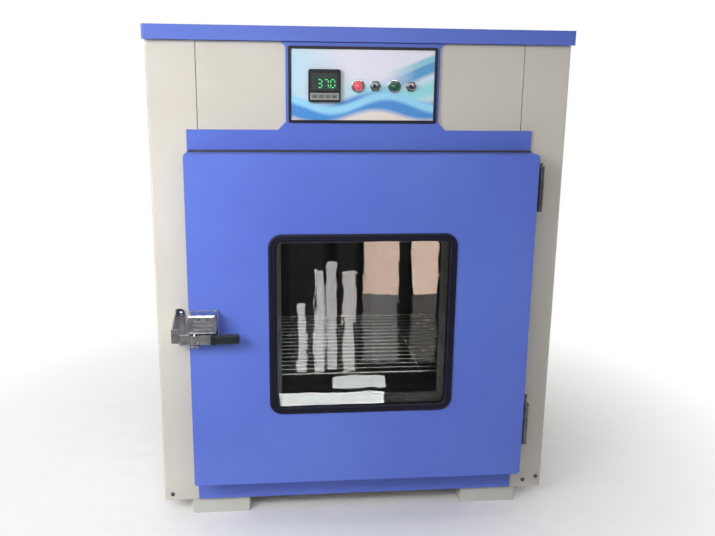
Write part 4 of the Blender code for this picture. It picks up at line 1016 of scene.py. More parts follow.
RUBBER = Moulded(
    "gasket rubber", "black_rubber", srgb(12, 13, 34), srgb(30, 33, 62), 0.46, 0.00005, 0.35
)
SEAL = Moulded("seal silicone", "grey_silicone", srgb(48, 50, 58), srgb(84, 84, 88), 0.55)
BLACK = Moulded("black plastic", "black_plastic", srgb(18, 18, 24), srgb(46, 46, 52), 0.38)
GRIP = Moulded(
    "grip plastic", "black_plastic", srgb(16, 26, 34), srgb(60, 70, 80), 0.26, 0.00003, 0.6
)
KEYPAD = Moulded("keypad plastic", "key_plastic", srgb(148, 152, 146), srgb(176, 178, 172), 0.42)
KEY = Moulded("key caps", "key_plastic", srgb(112, 118, 112), srgb(150, 152, 146), 0.45)
SIGN = Moulded("key signs", "black_plastic", srgb(34, 36, 38), srgb(60, 60, 62), 0.5)
SCREEN = Moulded(
    "display window", "display", srgb(58, 66, 64), srgb(92, 100, 94), 0.14, 0.00001, 0.8
)
DIGIT = Glow("green digits", "display", srgb(70, 205, 120), 1.1)
RED_LENS = Lens("red lens cap", "red_lens", srgb(214, 52, 78), srgb(255, 120, 130), 0.35)
GREEN_LENS = Lens("green lens cap", "green_lens", srgb(10, 92, 62), srgb(20, 120, 80), 0.05)
GLASS = Pane("window panes", "window_glass")
WOOL = Wool("packed wool", "mineral_wool")


@dataclass(frozen=True)
class Ribbon:
    """A band of colour that swings across the printed label.

    Attributes:
        level: Its height in the middle, from -1 at the bottom edge to 1 at the top.
        tilt: How much it rises towards the right.
        swing: The size of its waves.
        pitch: How close its waves are.
        start: Where its waves start.
        width: Half its width.
        soft: The width of its soft edge.
        colour: Its colour.
        fade: From where to where it fades in, left to right.
    """

    level: float
    tilt: float
    swing: float
    pitch: float
    start: float
    width: float
    soft: float
    colour: Colour
    fade: Flat = (-3.0, -2.0)


@dataclass(frozen=True)
class PrintedSheet(Finish):
    """A laminated label, printed with flowing ribbons.

    Attributes:
        centre: X and Z of its middle.
        half: Half its width and height.
        paper: The ground colour.
        tint: The ground colour at its left.
        ribbons: The bands, from the lowest layer up.
    """

    centre: Flat = (0.0, 0.7053)
    half: Flat = (0.108, 0.052)
    paper: Colour = srgb(226, 226, 240)
    tint: Colour = srgb(186, 222, 238)
    ribbons: tuple[Ribbon, ...] = ()

    def wire(self, graph: Graph) -> None:
        """Wires the material.

        Args:
            graph: Its wiring.
        """
        at = graph.place()
        parts = graph.add("ShaderNodeSeparateXYZ", {0: at})
        across, up = (
            graph.span(parts.outputs[axis], level - half, level + half, -1.0, 1.0)
            for axis, level, half in zip("XZ", self.centre, self.half)
        )
        tone = graph.mix(graph.span(across, -1.0, -0.3), self.tint, self.paper)
        for ribbon in self.ribbons:
            phase = graph.sum("MULTIPLY_ADD", across, ribbon.pitch, ribbon.start)
            wave = graph.sum("MULTIPLY", graph.sum("SINE", phase), ribbon.swing)
            line = graph.sum("MULTIPLY_ADD", across, ribbon.tilt, ribbon.level)
            away = graph.sum("ABSOLUTE", graph.sum("SUBTRACT", up, graph.sum("ADD", line, wave)))
            mask = graph.span(away, ribbon.width, ribbon.width + ribbon.soft, 1.0, 0.0)
            shown = graph.sum("MULTIPLY", mask, graph.span(across, *ribbon.fade))
            tone = graph.mix(shown, tone, ribbon.colour)
        dots = graph.noise(at, 1200.0, 2.0)
        worn = graph.mix(graph.span(dots, 0.45, 0.8, 0.0, 0.12), tone, srgb(245, 245, 245))
        graph.dress(Base_Color=worn, Roughness=graph.span(dots, 0.3, 0.7, 0.28, 0.4))
        graph.dress(Coat_Weight=0.35, Coat_Roughness=0.12)
        graph.relief(graph.noise(at, 90.0, 2.0), 0.0001, 0.25)


LABEL = PrintedSheet(
    "printed sheet",
    "printed_label",
    ribbons=(
        Ribbon(-0.95, -0.25, 0.10, 3.0, 0.4, 0.30, 0.20, srgb(232, 222, 212)),
        Ribbon(-0.28, 0.34, 0.20, 3.1, 2.6, 0.10, 0.30, srgb(150, 220, 226), (-0.6, 0.2)),
        Ribbon(-0.62, 0.06, 0.16, 4.2, 0.9, 0.17, 0.16, srgb(66, 142, 214)),
        Ribbon(-0.50, 0.04, 0.20, 4.2, 0.2, 0.06, 0.12, srgb(150, 214, 244)),
        Ribbon(0.02, 0.42, -0.14, 3.8, 0.3, 0.11, 0.16, srgb(74, 156, 206), (0.25, 0.75)),
        Ribbon(0.30, 0.40, -0.12, 3.8, 0.3, 0.03, 0.10, srgb(128, 198, 214), (0.3, 0.8)),
    ),
)


# Sub-assemblies


@dataclass
class Cabinet:
    """The painted shell: pillars, walls, cover, blue frame and feet, with its screws.

    Attributes:
        body: The body that carries it.
        panels: The cream panels, by the first words of their names.
        sheet_screw: The screws in the painted sheet.
        front_screws: X and Z of the screws low in the pillars.
        cover_inset: How far the cover's outer screws stand in from its corners, along its
            sides and along its rear.
        edge: How far the screws of the back stand in from an edge.
        rows: Screws along each upright edge of the back.
    """

    body: str = "cabinet"
    panels: tuple[str, ...] = ("left_side", "right_side", "back", "bottom", "fascia")
    sheet_screw: PanScrew = PanScrew(0.0036, 0.0020)
    front_screws: tuple[Flat, ...] = ((-0.3072, 0.0375), (0.2885, 0.0400), (0.3110, 0.0455))
    cover_inset: Flat = (0.09, 0.05)
    edge: float = 0.012
    rows: int = 4

    def build(self) -> None:
        """Dresses the nodes and adds the screws."""
        dress(CREAM, *(name + "_panel" for name in self.panels))
        dress(BLUE, "top_cover", "door_frame")
        dress(WOOL, "cabinet_insulation")
        for end in ("front", "rear"):
            dress(FOOT_CREAM, end + "_left_foot", end + "_right_foot")
        self.screw_front()
        self.screw_cover()
        self.screw_back()

    def screw_front(self) -> None:
        """The dark screws low in the pillars."""
        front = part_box("left_side_panel")[0].y
        seats = [(x, front, z) for x, z in self.front_screws]
        self.sheet_screw.drive("pillar_screw", DARK_SCREW, self.body, seats, Facing.FRONT)

    def screw_cover(self) -> None:
        """Screws through the cover's turned edge into each wall."""
        low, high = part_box("top_cover")
        level = (low.z + high.z) / 2
        along, across = self.cover_inset
        places = [low.y + along, (low.y + high.y) / 2, high.y - along]
        for name, x, facing in (("left", low.x, Facing.LEFT), ("right", high.x, Facing.RIGHT)):
            seats = [(x, y, level) for y in places]
            self.sheet_screw.drive(name + "_cover_screw", CHROME, self.body, seats, facing)
        seats = [(x, high.y, level) for x in (low.x + across, 0.0, high.x - across)]
        self.sheet_screw.drive("rear_cover_screw", CHROME, self.body, seats, Facing.BACK)

    def screw_back(self) -> None:
        """Screws round the back panel, through the walls' narrow returns."""
        low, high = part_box("left_side_panel")
        back = high.y
        gap = (high.z - low.z - 4 * self.edge) / (self.rows - 1)
        levels = [low.z + 2 * self.edge + row * gap for row in range(self.rows)]
        for name, x in (("left", low.x + self.edge), ("right", -low.x - self.edge)):
            seats = [(x, back, z) for z in levels]
            self.sheet_screw.drive(name + "_back_screw", CHROME, self.body, seats, Facing.BACK)


@dataclass
class Chamber:
    """The stainless chamber: liner, slotted uprights, wire shelf, floor plate and heater.

    Attributes:
        body: The body that carries it.
        shelf_body: The body that the shelf slides on.
        wire: The shelf's wires, as radius and spacing.
        rod: The radius of the rods under the wires.
        border: The radius of the shelf's border.
        corner: The radius of the border's corners.
        rods: Rods under the wires.
        weld: How deep the rods sink into the wires.
        rivet: The round heads that hold the uprights and the heater.
        end: How far a head stands in from an upright's end.
        flange: How far the heater's flange stands before its rear end.
        heater_screws: X of the screws in that flange.
    """

    body: str = "cabinet"
    shelf_body: str = "shelf"
    wire: Flat = (0.00140, 0.0250)
    rod: float = 0.002
    border: float = 0.0025
    corner: float = 0.010
    rods: int = 3
    weld: float = 0.0005
    rivet: PanScrew = PanScrew(0.0028, 0.0014)
    end: float = 0.006
    flange: float = 0.0054
    heater_screws: tuple[float, ...] = (-0.06, 0.0, 0.06)

    def build(self) -> None:
        """Dresses the nodes, lays the shelf's wires and adds the rivets."""
        dress(STEEL, "chamber", "temperature_probe")
        dress(FLOOR_STEEL, "floor_plate", "left_shelf_rail", "right_shelf_rail")
        dress(ZINC, "heater_element")
        for side in ("left", "right"):
            for end in ("front", "rear"):
                upright = "%s_%s_upright" % (end, side)
                dress(FLOOR_STEEL, upright)
                self.rivet_upright(upright, Facing.RIGHT if side == "left" else Facing.LEFT)
        self.lay_shelf()
        self.bolt_heater()

    def rivet_upright(self, node: str, facing: Facing) -> None:
        """Two round heads on an upright, near its ends.

        Args:
            node: The upright.
            facing: The way the heads look.
        """
        low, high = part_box(node)
        face = high.x if facing is Facing.RIGHT else low.x
        along = (low.y + high.y) / 2
        seats = [(face, along, z) for z in (low.z + self.end, high.z - self.end)]
        self.rivet.drive(node + "_screw", BRIGHT, self.body, seats, facing)

    def lay_shelf(self) -> None:
        """The shelf's border, wires and rods, welded where they cross."""
        low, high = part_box("wire_shelf")
        level = low.z + self.border
        centre = (low + high) / 2
        half = ((high.x - low.x) / 2 - self.border, (high.y - low.y) / 2 - self.border)
        shape = bmesh.new()
        path, steps = [], 5
        for turn, (u, v) in enumerate(QUARTERS):
            for step in range(steps + 1):
                angle = (turn + step / steps) * math.pi / 2
                x = u * (half[0] - self.corner) + self.corner * math.cos(angle)
                y = v * (half[1] - self.corner) + self.corner * math.sin(angle)
                path.append((centre.x + x, centre.y + y, level))
        add_rod(shape, path, self.border, 14, closed=True)
        radius, pitch = self.wire
        count = int((2 * half[1] - self.corner) / pitch)
        over = level + self.border - radius
        for index in range(count):
            y = centre.y + (index - (count - 1) / 2) * pitch
            ends = [(centre.x - half[0], y, over), (centre.x + half[0], y, over)]
            add_rod(shape, ends, radius, 10)
        under = level - self.weld
        for index in range(self.rods):
            x = centre.x + 2 * half[0] * ((index + 1) / (self.rods + 1) - 0.5)
            ends = [(x, centre.y - half[1], under), (x, centre.y + half[1], under)]
            add_rod(shape, ends, self.rod, 12)
        cast(shape, "shelf_wires", WIRE, 40.0, self.shelf_body, stands_for=["wire_shelf"])

    def bolt_heater(self) -> None:
        """The round heads that hold the heater's flange to the chamber's back."""
        low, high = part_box("heater_element")
        level = (low.z + high.z) / 2
        seats = [(x, high.y - self.flange, level) for x in self.heater_screws]
        self.rivet.drive("heater_screw", BRIGHT, self.body, seats, Facing.FRONT)


@dataclass
class Door:
    """The blue door: skin, stainless liner, glazed window, gasket, seal and hinges.

    Attributes:
        body: The body that carries it.
        lip: The gasket's rounded front lip, as width and rise.
        groove: The groove of its filler strip, as width and depth.
        fit: How far the gasket's lips stand off the door's skin and the pane's back.
        bend: The radius of the gasket's corners.
        seal: The seal's width and the radius of its corners.
        seal_ribs: Ribs along the seal.
        liner_screw: The screws round the liner.
        liner_rows: Screws along each edge of the liner.
        liner_inset: How far those screws stand in from the liner's edges.
        strip: The dark seal strip on the door's top edge, partly painted shade, as depth, rise and
            inset at its ends.
        strip_set: How far it lies before the door's rear edge, and how deep it is sunk.
        hinge_screw: The screws of a hinge's leaf on the pillar.
        leaf: How far they stand in from the leaf's end and before the pillar's face.
    """

    body: str = "door"
    lip: Flat = (0.012, 0.003)
    groove: Flat = (0.0030, 0.0010)
    fit: float = 0.0003
    bend: float = 0.020
    seal: Flat = (0.018, 0.0195)
    seal_ribs: int = 3
    liner_screw: PanScrew = PanScrew(0.0030, 0.0015)
    liner_rows: int = 4
    liner_inset: float = 0.045
    strip: tuple[float, float, float] = (0.0100, 0.0026, 0.0050)
    strip_set: Flat = (0.0006, 0.0002)
    hinge_screw: PanScrew = PanScrew(0.0026, 0.0012)
    leaf: Flat = (0.0045, 0.0023)

    def build(self) -> None:
        """Dresses the nodes and adds the gasket, the seal and the screws."""
        dress(BLUE, "door_skin")
        dress(LINER_STEEL, "door_liner")
        dress(TRIM_STEEL, "window_reveal")
        dress(WOOL, "door_insulation")
        dress(GLASS, "outer_glass", "inner_glass")
        for level in ("upper", "lower"):
            dress(HINGE, level + "_hinge_frame_leaf", level + "_hinge_door_leaf")
        self.roll_gasket()
        self.roll_seal()
        self.lay_top_strip()
        self.screw_liner()
        self.screw_hinges()

    def roll_gasket(self) -> None:
        """The rubber bead round the pane: rounded lips, a web and a filler strip's groove."""
        low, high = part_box("window_gasket")
        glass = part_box("outer_glass")
        centre, size = middle("window_gasket"), high.x - low.x
        front, back = low.y, high.y
        width, rise = self.lip
        wide, deep = self.groove
        clear, draft, taper = 0.0004, 0.0002, 0.0003
        slope, ease, edge, wall = 0.0022, 0.0006, 0.0010, 0.002
        half = width / 2
        web = (size - (glass[1].x - glass[0].x)) / 2 - clear
        skin = front + rise - self.fit
        rear = glass[1].y + self.fit
        section = [(0.0, skin), (-draft, skin - 0.5 * rise)]
        for sine, cosine in quarter(5):
            level = skin - rise * (0.5 + 0.45 * sine)
            section.append((-0.5 * half * (1 - cosine) - draft, level))
        section += [
            (-half + wide / 2, front),
            (-half + wide / 2 - taper, front + deep),
            (-half - wide / 2 + taper, front + deep),
            (-half - wide / 2, front),
            (-width + slope, front + draft),
            (-width + ease, front + edge),
            (-width, skin),
            (-web, skin),
            (-web, rear),
            (-width, rear),
            (-width + edge, back),
            (-web + wall, back),
            (-web + wall, skin),
        ]
        shape = bmesh.new()
        add_frame(shape, (centre.x, centre.z), (size, size), self.bend, section, 9)
        cast(shape, "window_bead", RUBBER, 50.0, self.body, stands_for=["window_gasket"])

    def roll_seal(self) -> None:
        """The ribbed silicone ring on the door's back."""
        low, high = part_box("door_seal")
        centre = middle("door_seal")
        width, corner = self.seal
        depth = high.y - low.y
        foot, brow = 0.0006, 0.0016
        section = [(0.0, low.y)]
        for rib in range(self.seal_ribs):
            start = -width * rib / self.seal_ribs
            end = -width * (rib + 1) / self.seal_ribs
            section += [
                (start - foot, high.y - 0.25 * depth),
                (start - brow, high.y),
                (end + brow, high.y),
                (end + foot, high.y - 0.25 * depth),
            ]
            if rib < self.seal_ribs - 1:
                section.append((end, low.y + 0.35 * depth))
        section.append((-width, low.y))
        shape = bmesh.new()
        size = (high.x - low.x, high.z - low.z)
        add_frame(shape, (centre.x, centre.z), size, corner, section, 6)
        cast(shape, "ribbed_seal", SEAL, 40.0, self.body, stands_for=["door_seal"])

    def lay_top_strip(self) -> None:
        """A dark seal strip with two beads on the door's top edge, partly painted shade for that
        edge.
        """
        low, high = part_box("door_skin")
        deep, rise, inset = self.strip
        back, base = high.y - self.strip_set[0], high.z - self.strip_set[1]
        shape = bmesh.new()
        left, right = low.x + inset, high.x - inset
        # The strip is a real seal, and its dark colour also serves as painted shade on the door's
        # top edge.
        add_box(shape, (left, back - deep, base), (right, back, base + 0.6 * rise))
        for share in (0.2, 0.8):
            y = back - share * deep
            bead = [(x, y, base + 0.62 * rise) for x in (left, right)]
            add_rod(shape, bead, 0.4 * rise, 10)
        cast(shape, "top_seal_shade_strip", SEAL, 40.0, self.body)

    def screw_liner(self) -> None:
        """Screws round the liner, between the seal and the window."""
        low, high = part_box("door_liner")
        inset, level = self.liner_inset, high.y
        seats: list[Point] = []
        for row in range(self.liner_rows):
            share = (row + 0.5) / self.liner_rows
            x = low.x + (high.x - low.x) * share
            z = low.z + (high.z - low.z) * share
            seats += [(x, level, low.z + inset), (x, level, high.z - inset)]
            seats += [(low.x + inset, level, z), (high.x - inset, level, z)]
        self.liner_screw.drive("liner_screw", BRIGHT, self.body, seats, Facing.BACK)

    def screw_hinges(self) -> None:
        """Screws that hold each hinge's leaf to the pillar."""
        for level in ("upper", "lower"):
            low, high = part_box(level + "_hinge_frame_leaf")
            third = (high.z - low.z) / 3
            end, flange = high.x - self.leaf[0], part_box("left_side_panel")[0].y - self.leaf[1]
            seats = [(end, flange, low.z + third * share) for share in (0.5, 2.5)]
            name = level + "_frame_leaf_screw"
            self.hinge_screw.drive(name, DARK_SCREW, "cabinet", seats, Facing.FRONT)


@dataclass
class Latch:
    """The chrome cam latch: body, keeper, lever and its black grip.

    Attributes:
        door: The body that carries the latch's own body.
        lever: The body that the lever turns on.
        cabinet: The body that carries the keeper.
        screw: The screws of the keeper's flange.
        flange: How far they stand in from its free edge, its back and its ends.
        cap: The dark screws near the top of the latch's body.
        cap_set: How far they sit behind its face and under its top.
        pin: X and Y of the lever's pin.
        pin_head: Radii and heights down the pin's turned head.
        pin_foot: The same for its sunk end.
        neck: X of the two ends of the grip's neck.
        neck_skin: How far the neck stands off the lever.
        ribs: Ribs along the grip.
        rib_run: X of the first and last rib, in from the grip's two ends.
        rib: A rib's radius, and how far it stands in from the grip's sides.
    """

    door: str = "door"
    lever: str = "latch"
    cabinet: str = "cabinet"
    screw: PanScrew = PanScrew(0.0034, 0.0020)
    flange: tuple[float, float, float] = (0.0052, 0.0020, 0.0075)
    cap: PanScrew = PanScrew(0.0026, 0.0012)
    cap_set: Flat = (0.0008, 0.0062)
    pin: Flat = (-0.256, -0.3414)
    pin_head: tuple[Flat, ...] = ((0.0, 0.0016), (0.0024, 0.0013), (0.0036, 0.0004))
    pin_foot: tuple[Flat, ...] = ((0.0038, -0.0004), (0.0, -0.0004))
    neck: Flat = (-0.2325, -0.2240)
    neck_skin: float = 0.0004
    ribs: int = 5
    rib_run: Flat = (0.007, 0.009)
    rib: Flat = (0.0007, 0.0060)

    def build(self) -> None:
        """Dresses the nodes and adds the screws, the pin head and the grip's ribs."""
        dress(CHROME, "latch_base", "latch_keeper", "latch_lever")
        dress(GRIP, "latch_grip")
        self.sleeve_grip()
        self.screw_body()
        self.screw_flange()
        self.rib_grip()

    def sleeve_grip(self) -> None:
        """The thin neck of the grip, drawn over the lever up to its hub."""
        low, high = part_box("latch_lever")
        near, far = self.neck
        skin = self.neck_skin
        front, back, base, top = low.y - skin, high.y + skin, low.z - skin, high.z + skin
        turn = ((front, base), (back, base), (back, top), (front, top))
        shape = bmesh.new()
        join_rings(shape, [[shape.verts.new((x, y, z)) for y, z in turn] for x in (near, far)])
        bmesh.ops.recalc_face_normals(shape, faces=shape.faces[:])
        bmesh.ops.bevel(
            shape, geom=shape.edges[:], offset=0.0012, segments=3, affect="EDGES", profile=0.6
        )
        cast(shape, "grip_neck", GRIP, 50.0, self.lever)

    def screw_body(self) -> None:
        """Two dark screws near the top of the body, and the turned head of its pin."""
        low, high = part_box("latch_base")
        wide = high.x - low.x
        face, level = low.y + self.cap_set[0], high.z - self.cap_set[1]
        seats = [(low.x + share * wide, face, level) for share in (0.38, 0.66)]
        self.cap.drive("latch_cap_screw", DARK_SCREW, self.door, seats, Facing.FRONT)
        pin = bmesh.new()
        turned_form(pin, [*self.pin_head, *self.pin_foot], 20)
        seat = Matrix.Translation((*self.pin, low.z)) @ Facing.DOWN.turn()
        cast(pin, "latch_pin_head", CHROME, 40.0, self.door, seat)

    def screw_flange(self) -> None:
        """Screws of the keeper's flange."""
        low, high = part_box("latch_keeper")
        edge, back, end = self.flange
        seats = [(high.x - edge, high.y - back, z) for z in (low.z + end, high.z - end)]
        self.screw.drive("keeper_screw", CHROME, self.cabinet, seats, Facing.FRONT)

    def rib_grip(self) -> None:
        """Raised ribs along the grip's top and bottom."""
        low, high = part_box("latch_grip")
        shape = bmesh.new()
        start, end = low.x + self.rib_run[0], high.x - self.rib_run[1]
        radius, inset = self.rib
        along = (low.y + inset, high.y - inset)
        for rib in range(self.ribs):
            x = start + (end - start) * rib / (self.ribs - 1)
            for level in (low.z, high.z):
                add_rod(shape, [(x, y, level) for y in along], radius, 10)
        cast(shape, "grip_ribs", GRIP, 50.0, self.lever)


@dataclass
class ControlPanel:
    """The label above the door with its controller, lamps and toggle switches.

    Attributes:
        body: The body that carries it.
        reading: The segments of each digit shown, named a to g and p for the point.
        digit: A digit's width and height.
        stroke: A segment's thickness.
        readout: X and Z of the reading's middle.
        pad: The key area's width and height.
        film: How far a segment stands before the display's face and reaches into it.
        spacing: The gap at a segment's ends and between two digits, in strokes.
        layer: How far the key area stands before the controller's face and reaches into it.
        room: The gap round a key in it.
        sign: The half size of a key's sign, and how far it stands out and reaches in.
        mouth: Radii and heights across the mouth of a lamp's bezel.
        brim: How round its rim is, and how far that rim falls back.
        shank: Radii and heights behind its rim.
        lens: A lens's radius and the depth of its ripples.
        stem: Radii and heights behind its dome.
        nut: A toggle's nut.
        washer: How far the nut sits before the label.
        thread: Radii of a toggle's bushing in and on its thread.
        turns: Height of the first turn, the pitch and a turn's half width.
        turn_count: Turns shown.
    """

    body: str = "cabinet"
    reading: tuple[str, ...] = ("abcdg", "abcp", "abcdef")
    digit: Flat = (0.0060, 0.0115)
    stroke: float = 0.0014
    readout: Flat = (-0.0560, 0.7075)
    pad: Flat = (0.0430, 0.0100)
    film: Flat = (0.00015, 0.0001)
    spacing: Flat = (0.62, 2.6)
    layer: Flat = (0.0002, 0.0001)
    room: float = 0.0003
    sign: Flat = (0.0012, 0.0001)
    mouth: tuple[Flat, ...] = ((0.0074, -0.0010), (0.0076, -0.0001), (0.0080, 0.0))
    brim: Flat = (0.001, 0.0002)
    shank: tuple[Flat, ...] = (
        (0.0066, -0.0030),
        (0.0066, -0.0290),
        (0.0053, -0.0290),
        (0.0053, -0.0015),
        (0.0074, -0.0015),
    )
    lens: Flat = (0.0072, 0.00012)
    stem: tuple[Flat, ...] = (
        (0.0072, -0.0012),
        (0.0050, -0.0012),
        (0.0050, -0.0160),
        (0.0, -0.0160),
    )
    nut: HexNut = HexNut(0.0150, 0.0029, 0.0071)
    washer: float = 0.0003
    thread: Flat = (0.0053, 0.0055)
    turns: tuple[float, float, float] = (0.0031, 0.0007, 0.0003)
    turn_count: int = 5

    def build(self) -> None:
        """Dresses the nodes and adds the reading, key area, lamps and switches."""
        dress(LABEL, "control_label")
        dress(BLACK, "label_bezel", "temperature_controller")
        dress(SCREEN, "controller_display")
        self.show_reading()
        self.lay_keypad()
        for index in range(4):
            dress(KEY, "controller_key_%d" % (index + 1))
            self.mark_key(index)
        for name, lens in (("red", RED_LENS), ("green", GREEN_LENS)):
            self.turn_lamp(name, lens)
        for name in ("left", "right"):
            self.fit_toggle(name)

    def segments(self) -> dict[str, tuple[Flat, Flat]]:
        """The middle line of each segment, in a digit's own plane.

        Returns:
            Its two ends by its letter, the upper or left one first.
        """
        half, tall = self.digit[0] / 2, self.digit[1] / 2
        return {
            "a": ((-half, tall), (half, tall)),
            "b": ((half, tall), (half, 0.0)),
            "c": ((half, 0.0), (half, -tall)),
            "d": ((-half, -tall), (half, -tall)),
            "e": ((-half, 0.0), (-half, -tall)),
            "f": ((-half, tall), (-half, 0.0)),
            "g": ((-half, 0.0), (half, 0.0)),
        }

    def show_reading(self) -> None:
        """A plain temperature reading in lit segments."""
        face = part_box("controller_display")[0].y
        near, far = face - self.film[0], face + self.film[1]
        half = self.stroke / 2
        gap = self.stroke * self.spacing[0]
        pitch = self.digit[0] + self.spacing[1] * self.stroke
        start = self.readout[0] - pitch * (len(self.reading) - 1) / 2
        shape = bmesh.new()
        lines = self.segments()
        for place, shown in enumerate(self.reading):
            x0, z0 = start + pitch * place, self.readout[1]
            for letter in shown.replace("p", ""):
                first, last = lines[letter]
                if first[1] == last[1]:
                    a, b, z = first[0] + gap, last[0] - gap, first[1]
                    under = [(a, z), (a + half, z - half), (b - half, z - half)]
                    outline = [*under, (b, z), (b - half, z + half), (a + half, z + half)]
                else:
                    x, a, b = first[0], last[1] + gap, first[1] - gap
                    right = [(x, a), (x + half, a + half), (x + half, b - half)]
                    outline = [*right, (x, b), (x - half, b - half), (x - half, a + half)]
                add_prism(shape, [(x0 + x, z0 + z) for x, z in outline], near, far)
            if "p" in shown:
                x, z = x0 + pitch / 2, z0 - self.digit[1] / 2
                angles = [math.pi / 4 * step for step in range(8)]
                dot = [(x + half * math.cos(a), z + half * math.sin(a)) for a in angles]
                add_prism(shape, dot, near, far)
        cast(shape, "reading_digits", DIGIT, 30.0, self.body)

    def lay_keypad(self) -> None:
        """The pale key area, with an opening round each key."""
        keys = ["controller_key_%d" % (index + 1) for index in range(4)]
        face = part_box("temperature_controller")[0].y
        centre = sum((middle(key) for key in keys), Vector()) / len(keys)
        wide, tall = self.pad[0] / 2, self.pad[1] / 2
        shape = bmesh.new()
        start = (centre.x - wide, face - self.layer[0], centre.z - tall)
        add_box(shape, start, (centre.x + wide, face + self.layer[1], centre.z + tall))
        tool, room, deep = bmesh.new(), self.room, 0.002
        for low, high in map(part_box, keys):
            start = (low.x - room, face - deep, low.z - room)
            add_box(tool, start, (high.x + room, face + deep, high.z + room))
        cast(carved(shape, tool), "key_area", KEYPAD, 30.0, self.body)

    def mark_key(self, index: int) -> None:
        """A plain sign on a key: left, down, up or a square.

        Args:
            index: The key's place from the left.
        """
        low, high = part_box("controller_key_%d" % (index + 1))
        x, z = (low.x + high.x) / 2, (low.z + high.z) / 2
        r, thin = self.sign
        signs = (
            [(x - r, z), (x + r, z - r), (x + r, z + r)],
            [(x - r, z + r), (x, z - r), (x + r, z + r)],
            [(x - r, z - r), (x + r, z - r), (x, z + r)],
            [(x - r, z - r), (x + r, z - r), (x + r, z + r), (x - r, z + r)],
        )
        shape = bmesh.new()
        add_prism(shape, signs[index], low.y - thin, low.y + thin)
        cast(shape, "key_sign_%d" % (index + 1), SIGN, 30.0, "key_%d" % (index + 1))

    def turn_lamp(self, name: str, lens: Finish) -> None:
        """A pilot lamp's bezel and lens, finely turned.

        Args:
            name: The lamp's colour.
            lens: The lens's finish.
        """
        low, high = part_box(name + "_lamp_bezel")
        centre = middle(name + "_lamp_bezel")
        radius, (brim, fall) = (high.x - low.x) / 2, self.brim
        seat = Matrix.Translation((centre.x, low.y, centre.z)) @ Facing.FRONT.turn()
        rim = [(radius - brim, -fall)]
        for sine, cosine in quarter(4):
            rim.append((radius - brim * (1 - sine), -fall - brim * (1 - cosine)))
        rim.append((radius, self.shank[0][1]))
        bezel = bmesh.new()
        turned_form(bezel, closed_turn([*self.mouth, *rim, *self.shank]), 40)
        cast(bezel, name + "_bezel_ring", BRIGHT, 30.0, self.body, seat, [name + "_lamp_bezel"])
        ball, ripple = self.lens
        dome = [(0.0, ball)]
        for step, (sine, cosine) in enumerate(quarter(9), 1):
            reach = ball - ripple * (step % 2)
            dome.append((reach * sine, reach * cosine))
        cap = bmesh.new()
        turned_form(cap, [*dome, *self.stem], 40)
        cast(cap, name + "_lens_cap", lens, 50.0, self.body, seat, [name + "_lamp_lens"])

    def fit_toggle(self, name: str) -> None:
        """A toggle's threaded bushing, hex nut and lever.

        Args:
            name: The side of the switch.
        """
        dress(BRIGHT, name + "_toggle_body", name + "_toggle_lever")
        centre = middle(name + "_toggle_body")
        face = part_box("control_label")[0].y - self.washer
        seat = Matrix.Translation((centre.x, face, centre.z)) @ Facing.FRONT.turn()
        nut = self.nut.mesh(name + "_toggle_nut", BRIGHT)
        publish(name + "_toggle_nut", nut, self.body, seat)
        thread = bmesh.new()
        (root, crest), (first, pitch, half) = self.thread, self.turns
        for turn in range(self.turn_count):
            level = first + pitch * turn
            profile = [(root, level + half), (crest, level), (root, level - half)]
            turned_form(thread, closed_turn(profile), 32)
        cast(thread, name + "_toggle_thread", BRIGHT, 20.0, self.body, seat)


@dataclass
class Openings:
    """What passes through the walls: the two vents with their covers and the cord gland.

    Attributes:
        body: The body that carries the vents' own bodies and the gland.
        screw: The screws of a vent's plate.
        plate: Half the distances between those screws, and the plate's thickness.
        ribs: Ribs round the gland's dome.
        run: Where a rib starts and ends, from the gland's rear end.
        rib: The radius that the ribs stand on, and a rib's own.
    """

    body: str = "cabinet"
    screw: PanScrew = PanScrew(0.0030, 0.0016)
    plate: tuple[float, float, float] = (0.0150, 0.0268, 0.0028)
    ribs: int = 12
    run: Flat = (0.0150, 0.0040)
    rib: Flat = (0.0102, 0.0007)

    def build(self) -> None:
        """Dresses the nodes and adds the screws and the gland's ribs."""
        dress(BLACK, "cord_gland")
        wide, tall, thick = self.plate
        for name, facing in (("left", Facing.LEFT), ("right", Facing.RIGHT)):
            dress(ZINC, name + "_vent_body", name + "_vent_cover")
            low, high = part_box(name + "_vent_body")
            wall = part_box(name + "_side_panel")
            side = facing.value[0]
            face = (wall[1].x if side > 0 else wall[0].x) + side * thick
            y, z = middle(name + "_vent_body").y, (low.z + high.z) / 2
            seats = [(face, y + u * wide, z + v * tall) for v in (-1, 1) for u in (-1, 1)]
            self.screw.drive(name + "_vent_screw", CHROME, self.body, seats, facing)
        self.rib_gland()

    def rib_gland(self) -> None:
        """Ribs round the gland's dome."""
        centre = middle("cord_gland")
        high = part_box("cord_gland")[1]
        start, end = high.y - self.run[0], high.y - self.run[1]
        radius, thin = self.rib
        shape = bmesh.new()
        for rib in range(self.ribs):
            angle = 2 * math.pi * rib / self.ribs
            x, z = centre.x + radius * math.cos(angle), centre.z + radius * math.sin(angle)
            add_rod(shape, [(x, start, z), (x, end, z)], thin, 8)
        cast(shape, "gland_ribs", BLACK, 40.0, self.body)


